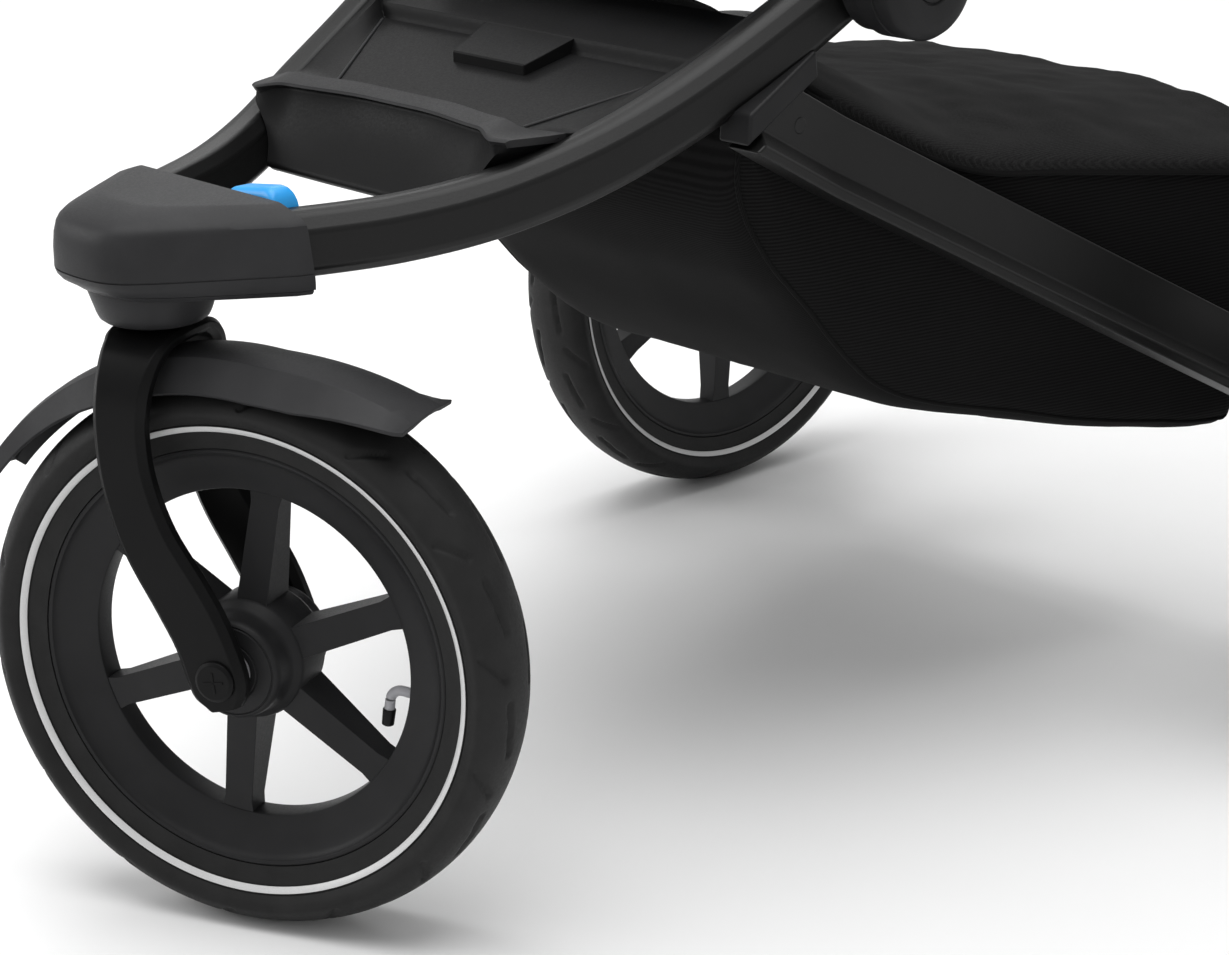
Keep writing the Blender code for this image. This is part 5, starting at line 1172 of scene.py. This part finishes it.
def build_basket():
    """Cloth basket with its piping and rim hem, and the tented cover over it."""
    stations = smooth_rows([basket_section(*station) for station in BASKET_STATIONS], 5)
    rows = [[slack(point) for point in smooth(row, BASKET_STEPS)] for row in stations]
    basket = piece("basket_tub", grid(rows), ribbed_cloth, "chassis", "basket", closed=False, sharp=70)
    basket.data.materials.append(plain_cloth)
    seam, faces_across = BASKET_SEAM * BASKET_STEPS, len(rows[0]) - 1
    for face in basket.data.polygons:
        face.material_index = int(seam <= face.index % faces_across < faces_across - seam)
    routes = {
        "hem_left": [row[0] for row in rows], "hem_right": [row[-1] for row in rows], "hem_rear": rows[-1],
        "piping_left": [row[seam] for row in rows], "piping_right": [row[-1 - seam] for row in rows],
    }
    trims = []
    for name, route in routes.items():
        trim = sweep(route, circle(HEM_RADIUS if "hem" in name else PIPING_RADIUS, 12))
        trims.append(piece("basket_" + name, trim, plain_cloth, "chassis", sharp=60))
    declare_sheet(basket, rows, "hung", "leg_saddle_left", "leg_saddle_right", with_pieces=trims)
    thicken(basket, CLOTH_WALL)
    build_snaps()
    build_cover()


def build_snaps():
    """Small metal press studs at the basket's front corners."""
    dome = [(0, 0.0016), (0.0026, 0.0013), (0.0042, 0.0004), (0.0046, -0.0006), (0, -0.0006)]
    y, half, top, _, _ = BASKET_STATIONS[0]
    for name, side in SIDES:
        place = at((side * (half + 0.0004), y + 0.008, top - 0.012))
        piece("basket_snap_" + name, lathe(sided(dome, side), 32, False), steel, "chassis", place=place)


def build_cover():
    """Slack cover, tented over the basket and lapping its rim, with piping along its sides."""
    rows = []
    for y, half, top, _, _ in BASKET_STATIONS:
        if y >= COVER_FRONT:
            rest = top + COVER_WALL / 2 + 0.001
            edge = half - COVER_WALL + (COVER_WALL + COVER_LAP) * ease(y, *COVER_WIDENS)
            row = [Vector((edge * u / 8, y, rest + COVER_CROWN * (1 - (u / 8) ** 4))) for u in range(-8, 9)]
            skirt = [Vector((-edge - 0.0004, y, rest - COVER_SKIRT))]
            rows.append(skirt + row + mirrored(skirt))
    rows = [smooth(row, 6) for row in smooth_rows(rows, 10)]
    for row in rows:
        for point in row:
            crest = 1 - ease(abs(point.x), abs(row[0].x) - 0.030, abs(row[0].x) - 0.004)
            fold = ripple(point.x * 0.7 + point.y * 0.5, point.y * 0.35 - point.x * 0.3, 0, 0.030, 5)
            fine = ripple(point.x, point.y * 0.5, 0, 0.013, 2)
            point.z += (0.0034 * fold + 0.0010 * fine - 0.002) * crest
    cover = piece("basket_lid", grid(rows), heather_cloth, "chassis", "basket_cover", closed=False, sharp=80)
    trims = []
    for name, end in (("left", 0), ("right", -1)):
        piping = sweep([row[end] for row in rows], circle(COVER_PIPING, 12))
        trims.append(piece("lid_piping_" + name, piping, plain_cloth, "chassis", sharp=60))
    declare_sheet(cover, rows, "stretched", "basket_tub", with_pieces=trims)
    thicken(cover, CLOTH_WALL)


# Seat, harness and canopy

SEAT_HALF, SEAT_FRONT_Y, SEAT_TURN_Y, SEAT_REAR_Y = 0.138, 0.300, 0.368, 0.446
SEAT_REST, SEAT_DROP, SEAT_THICK = HUB_Z - 0.013 + 0.0148, 0.0287, 0.034
BACK_FOOT, BACK_ANGLE = Vector((0, 0.500, HUB_Z + 0.035)), radians(64)
BACK_LENGTH, BACK_HALF, BACK_THICK = 0.440, 0.150, 0.034
PAD_EDGE, CHANNEL_DEPTH, CHANNEL_WIDTH = 0.55, 0.0060, 0.0110
PAD_CHANNELS = (0.2, 0.4, 0.6, 0.8)
PAD_VOXEL, PAD_PRESSURE, PAD_FRAMES, PAD_GIVE, PAD_SHRINK = 0.0055, 4.0, 20, 0.006, 0.0030
PAD_SOFTNESS, PAD_PIPING = 0.6, 0.0024
STRAP_X, STRAP_WIDE, STRAP_THICK, STRAP_PLAY, STRAP_CURL = 0.055, 0.036, 0.0030, 0.0006, 0.0005
STRAP_START, STRAP_END, STRAP_REACH, STRAP_EVEN = 0.20, 0.86, 6, 5
CANOPY_ALONG, CANOPY_RADIUS, CANOPY_ROOT, CANOPY_DISC = 0.430, 0.262, 0.020, 0.024
CANOPY_START, CANOPY_PANEL, CANOPY_SPREAD = radians(62), radians(30), radians(28)
CANOPY_STEP, CANOPY_CLOTH, CANOPY_DISC_THICK, CANOPY_INSET = 0.0036, 0.0014, 0.0024, 0.0008
CANOPY_PLAY, BINDING_RADIUS = 0.0006, 0.0013
BACK_UP = Vector((0, cos(BACK_ANGLE), sin(BACK_ANGLE)))
BACK_AHEAD = Vector((0, -sin(BACK_ANGLE), cos(BACK_ANGLE)))


def seat_point(x, share, height):
    """A point on the cushion, whose front turns down ahead of the cross tube."""
    y = SEAT_FRONT_Y + share * (SEAT_REAR_Y - SEAT_FRONT_Y)
    ahead = max(0.0, (SEAT_TURN_Y - y) / (SEAT_TURN_Y - SEAT_FRONT_Y))
    return Vector((x, y, SEAT_REST - SEAT_DROP * ahead**2 + height))


def back_point(x, share, height):
    """A point on the seat back, up along it from its foot and ahead of its rear face."""
    return Vector((x, 0, 0)) + BACK_FOOT + BACK_UP * (share * BACK_LENGTH) + BACK_AHEAD * height


def seat_share(point):
    return (point.y - SEAT_FRONT_Y) / (SEAT_REAR_Y - SEAT_FRONT_Y)


def back_share(point):
    return (point - BACK_FOOT).dot(BACK_UP) / BACK_LENGTH


def remeshed(obj):
    """A pad's mesh as an even skin of small faces."""
    modifier = obj.modifiers.new("Even", "REMESH")
    modifier.mode = "VOXEL"
    modifier.voxel_size = PAD_VOXEL
    bpy.context.view_layer.update()
    mesh = bpy.data.meshes.new_from_object(obj.evaluated_get(bpy.context.evaluated_depsgraph_get()))
    obj.modifiers.remove(modifier)
    obj.data = mesh


def inflate(obj):
    """Swells a pad by cloth under pressure, and limits how far each point moves."""
    start = [vertex.co.copy() for vertex in obj.data.vertices]
    cloth = obj.modifiers.new("Swell", "CLOTH")
    cloth.settings.use_pressure = True
    cloth.settings.uniform_pressure_force = PAD_PRESSURE
    cloth.settings.effector_weights.gravity = 0
    scene = bpy.context.scene
    for number in range(1, PAD_FRAMES + 1):
        scene.frame_set(number)
    evaluated = obj.evaluated_get(bpy.context.evaluated_depsgraph_get())
    swollen = [vertex.co.copy() for vertex in evaluated.data.vertices]
    obj.modifiers.remove(cloth)
    scene.frame_set(1)
    for vertex, before, after in zip(obj.data.vertices, start, swollen):
        move = after - before
        vertex.co = before + move * min(1.0, PAD_GIVE / max(move.length, 1e-9))


def build_pad(node, body, half, length, share_of, front):
    """A sewn pad: swollen by a cloth simulation, then pressed in along its channels. Gives its skin back."""
    obj = add_object(node + "_pad", frame["nodes"][node].data.copy())
    remeshed(obj)
    normals = [vertex.normal.copy() for vertex in obj.data.vertices]
    for vertex, normal in zip(obj.data.vertices, normals):
        vertex.co -= normal * PAD_SHRINK
    inflate(obj)
    for vertex in obj.data.vertices:
        point = vertex.co - STEM
        across, share = point.x / half, share_of(point)
        facing = max(0.0, vertex.normal.dot(front))
        gap = min(abs(share - channel) for channel in PAD_CHANNELS) * length
        sewn = max(0.0, 1 - (gap / CHANNEL_WIDTH) ** 2) ** 2 * (1 - min(1.0, abs(across)) ** 6)
        pucker = 0.0012 * ripple(point.x, share, 0, 0.012, 4) * max(0.0, 1 - gap / (3 * CHANNEL_WIDTH))
        vertex.co -= front * facing * (CHANNEL_DEPTH * sewn + pucker)
    obj.data.materials.clear()
    obj.data.materials.append(seat_cloth)
    obj.data.shade_smooth()
    soft = obj.modifiers.new("Soft", "SUBSURF")
    soft.levels = soft.render_levels = 1
    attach(obj, body)
    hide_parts(node)
    return pad_surface(obj)


def pad_surface(pad):
    """A search tree over a pad's finished skin, measured from the stem."""
    skin = [vertex.co - STEM for vertex in pad.data.vertices]
    return BVHTree.FromPolygons(skin, [tuple(face.vertices) for face in pad.data.polygons])


def landed(surface, start, aim):
    """Where the straight way from start to aim meets a pad, or the aim where it meets none."""
    spot = surface.ray_cast(start, (aim - start).normalized())[0]
    return aim if spot is None else spot


def pad_piping(name, body, surface, half, thick, place):
    """Piping sewn round the edge of a pad's face."""
    height = thick * PAD_EDGE
    loop = []
    for side, end, inside in ((1, 1, 0.85), (-1, 0, 0.15)):
        for share in np.linspace(0.5 - 0.45 * side, 0.5 + 0.45 * side, 40):
            loop.append(landed(surface, place(side * half * 1.2, share, height), place(0, share, height)))
        for u in np.linspace(0.93 * side, -0.93 * side, 30):
            rim, aim = place(half * u, end, height), place(half * u, inside, height)
            loop.append(landed(surface, rim * 2 - aim, aim))
    loop.append(loop[0])
    piece(name, sweep(loop, circle(PAD_PIPING, 10)), plain_cloth, body, sharp=70)


def around(values, i, reach):
    """The values up to a number of places before and after one."""
    return values[max(0, i - reach):i + reach + 1]


def strap_lifts(surface, side, shares):
    """How far a strap lies ahead of the back's rear face: on the pad's crests, straight over its channels."""
    crests = []
    for share in shares:
        heights = []
        for u in (-1, -0.5, 0, 0.5, 1):
            x = side * (STRAP_X + STRAP_WIDE / 2 * u)
            foot = back_point(x, share, 0)
            heights.append((landed(surface, back_point(x, share, 0.1), foot) - foot).dot(BACK_AHEAD))
        crests.append(max(heights))
    bridged = [max(around(crests, i, STRAP_REACH)) for i in range(len(crests))]
    evened = [around(bridged, i, STRAP_EVEN) for i in range(len(crests))]
    return [sum(values) / len(values) + STRAP_PLAY for values in evened]


def build_seat():
    """Seat pads, harness and canopy."""
    seat_length = SEAT_REAR_Y - SEAT_FRONT_Y
    cushion = build_pad("seat_cushion", "chassis", SEAT_HALF, seat_length, seat_share, Vector((0, 0, 1)))
    back = build_pad("seat_back", "seat_back", BACK_HALF, BACK_LENGTH, back_share, BACK_AHEAD)
    pad_piping("cushion_piping", "chassis", cushion, SEAT_HALF, SEAT_THICK, seat_point)
    pad_piping("back_piping", "seat_back", back, BACK_HALF, BACK_THICK, back_point)
    shares = np.linspace(STRAP_START, STRAP_END, 60)
    for name, side in SIDES:
        rows = []
        for share, lift in zip(shares, strap_lifts(back, side, shares)):
            row = []
            for u in np.linspace(-1, 1, 13):
                curl = STRAP_CURL * u**4
                row.append(back_point(side * (STRAP_X + STRAP_WIDE / 2 * u), share, lift + curl))
            rows.append(row)
        strap = piece("harness_strap_" + name, grid(rows), webbing, "seat_back", "shoulder_strap_" + name,
                      closed=False, sharp=60)
        declare_sheet(strap, rows, "laid", "seat_back_pad")
        thicken(strap, STRAP_THICK * 0.8, side)
    dress(black_plastic, "harness_buckle", edge=0.002)
    dress(blue_plastic, "buckle_button", edge=0.001)
    build_canopy()


def canopy_bow(half, radius):
    """A canopy's section across the stroller: upright sides that round into a flat top."""
    bow = [(half, CANOPY_ROOT)]
    for degrees_up in (4, 8, 12, 18, 24, 30, 36, 42, 48, 54, 60, 66, 72, 77, 82, 86):
        t = radians(degrees_up)
        bow.append((half * cos(t) ** 0.55, CANOPY_ROOT + (radius - CANOPY_ROOT) * sin(t) ** 0.75))
    return bow + [(0, radius)] + [(-x, r) for x, r in reversed(bow)]


def build_canopy():
    """Three curved cloth panels with bound edges, each turning on a disc at either side."""
    axis = upper_point(0, CANOPY_ALONG)
    panels = (("rear", CANOPY_START, "upper_frame"), ("mid", CANOPY_START + CANOPY_SPREAD, "canopy_mid"),
              ("visor", CANOPY_START + CANOPY_SPREAD, "canopy_visor"))
    for nest, (name, start, body) in enumerate(panels):
        half = UPPER_X - UPPER_RADIUS - CANOPY_PLAY - nest * CANOPY_STEP
        radius = CANOPY_RADIUS - nest * CANOPY_STEP
        bow = canopy_bow(half - CANOPY_INSET, radius - CANOPY_INSET)
        rows = []
        for angle in np.linspace(start, start + CANOPY_PANEL, 25):
            rows.append([axis + Vector((x, r * cos(angle), r * sin(angle))) for x, r in bow])
        panel = piece("canopy_cloth_" + name, grid(rows), canopy_cloth, body, "canopy_" + name, closed=False,
                      sharp=60)
        trims = []
        for edge, row in (("a", rows[0]), ("b", rows[-1])):
            binding = sweep([axis + (point - axis) * 0.9985 for point in row], circle(BINDING_RADIUS, 10))
            trims.append(piece(f"canopy_binding_{name}_{edge}", binding, plain_cloth, body, sharp=70))
        reach, deep = CANOPY_DISC, CANOPY_DISC_THICK
        steps = ((0, 0), (reach - 0.001, 0), (reach, 0.0008), (reach, deep), (0, deep))
        disc = inset_from(half + 0.0002, steps)
        for side_name, side in SIDES:
            piece(f"canopy_disc_{name}_{side_name}", lathe(sided(disc, side), 48, False), hub_plastic, body,
                  place=at((0, axis.y, axis.z)))
        discs = [f"canopy_disc_{name}_{side_name}" for side_name, _ in SIDES]
        declare_sheet(panel, rows, "stretched", *discs, with_pieces=trims)
        thicken(panel, CANOPY_CLOTH)


# Camera, light and floor

FLOOR_HALF, FLOOR_DROP, DAYLIGHT = 12.0, 0.0003, 0.60
CAMERA_FROM_STEM = Vector((1.2946, -0.9072, 0.7780))
CAMERA_TURN = (radians(71.386), 0, radians(45.986))
CAMERA_LENS = 88.16


def area_light(name, place, aim, size, power):
    data = bpy.data.lights.new(name, "AREA")
    data.shape = "DISK"
    data.size = size
    data.energy = power
    light = add_object(name, data)
    light.location = place
    light.rotation_euler = (Vector(aim) - Vector(place)).to_track_quat("-Z", "Y").to_euler()


def build_studio():
    """The photograph's camera, a white floor and soft light from three sides."""
    data = bpy.data.cameras.new("photo_camera")
    data.sensor_width = 36.0
    data.lens = CAMERA_LENS
    camera = add_object("photo_camera", data)
    camera.location = STEM + CAMERA_FROM_STEM
    camera.rotation_euler = CAMERA_TURN
    bpy.context.scene.camera = camera
    floor = bpy.data.meshes.new("floor")
    corners = [(-FLOOR_HALF, -FLOOR_HALF, 0), (FLOOR_HALF, -FLOOR_HALF, 0), (FLOOR_HALF, FLOOR_HALF, 0),
               (-FLOOR_HALF, FLOOR_HALF, 0)]
    floor.from_pydata(corners, [], [(0, 1, 2, 3)])
    floor.materials.append(floor_look())
    ground = add_object("floor", floor)
    ground.location.z = -FLOOR_DROP
    world = bpy.data.worlds.new("studio")
    world.use_nodes = True
    background = world.node_tree.nodes["Background"].inputs
    background["Color"].default_value = (1.0, 1.0, 1.0, 1.0)
    background["Strength"].default_value = DAYLIGHT
    bpy.context.scene.world = world
    bpy.context.scene.view_settings.view_transform = "Standard"
    middle = (0, 0, 0.3)
    area_light("overhead", (0.1, -0.35, 3.3), middle, 3.6, 105)
    area_light("behind", (-2.6, 2.3, 2.6), (-2.6, 2.2, 0), 2.6, 34)
    area_light("front", (-2.0, -2.0, 1.5), middle, 1.4, 24)


build_studio()
build_wheels()
build_fork()
build_fender()
build_nose()
build_frame()
build_footrest()
build_basket()
build_seat()
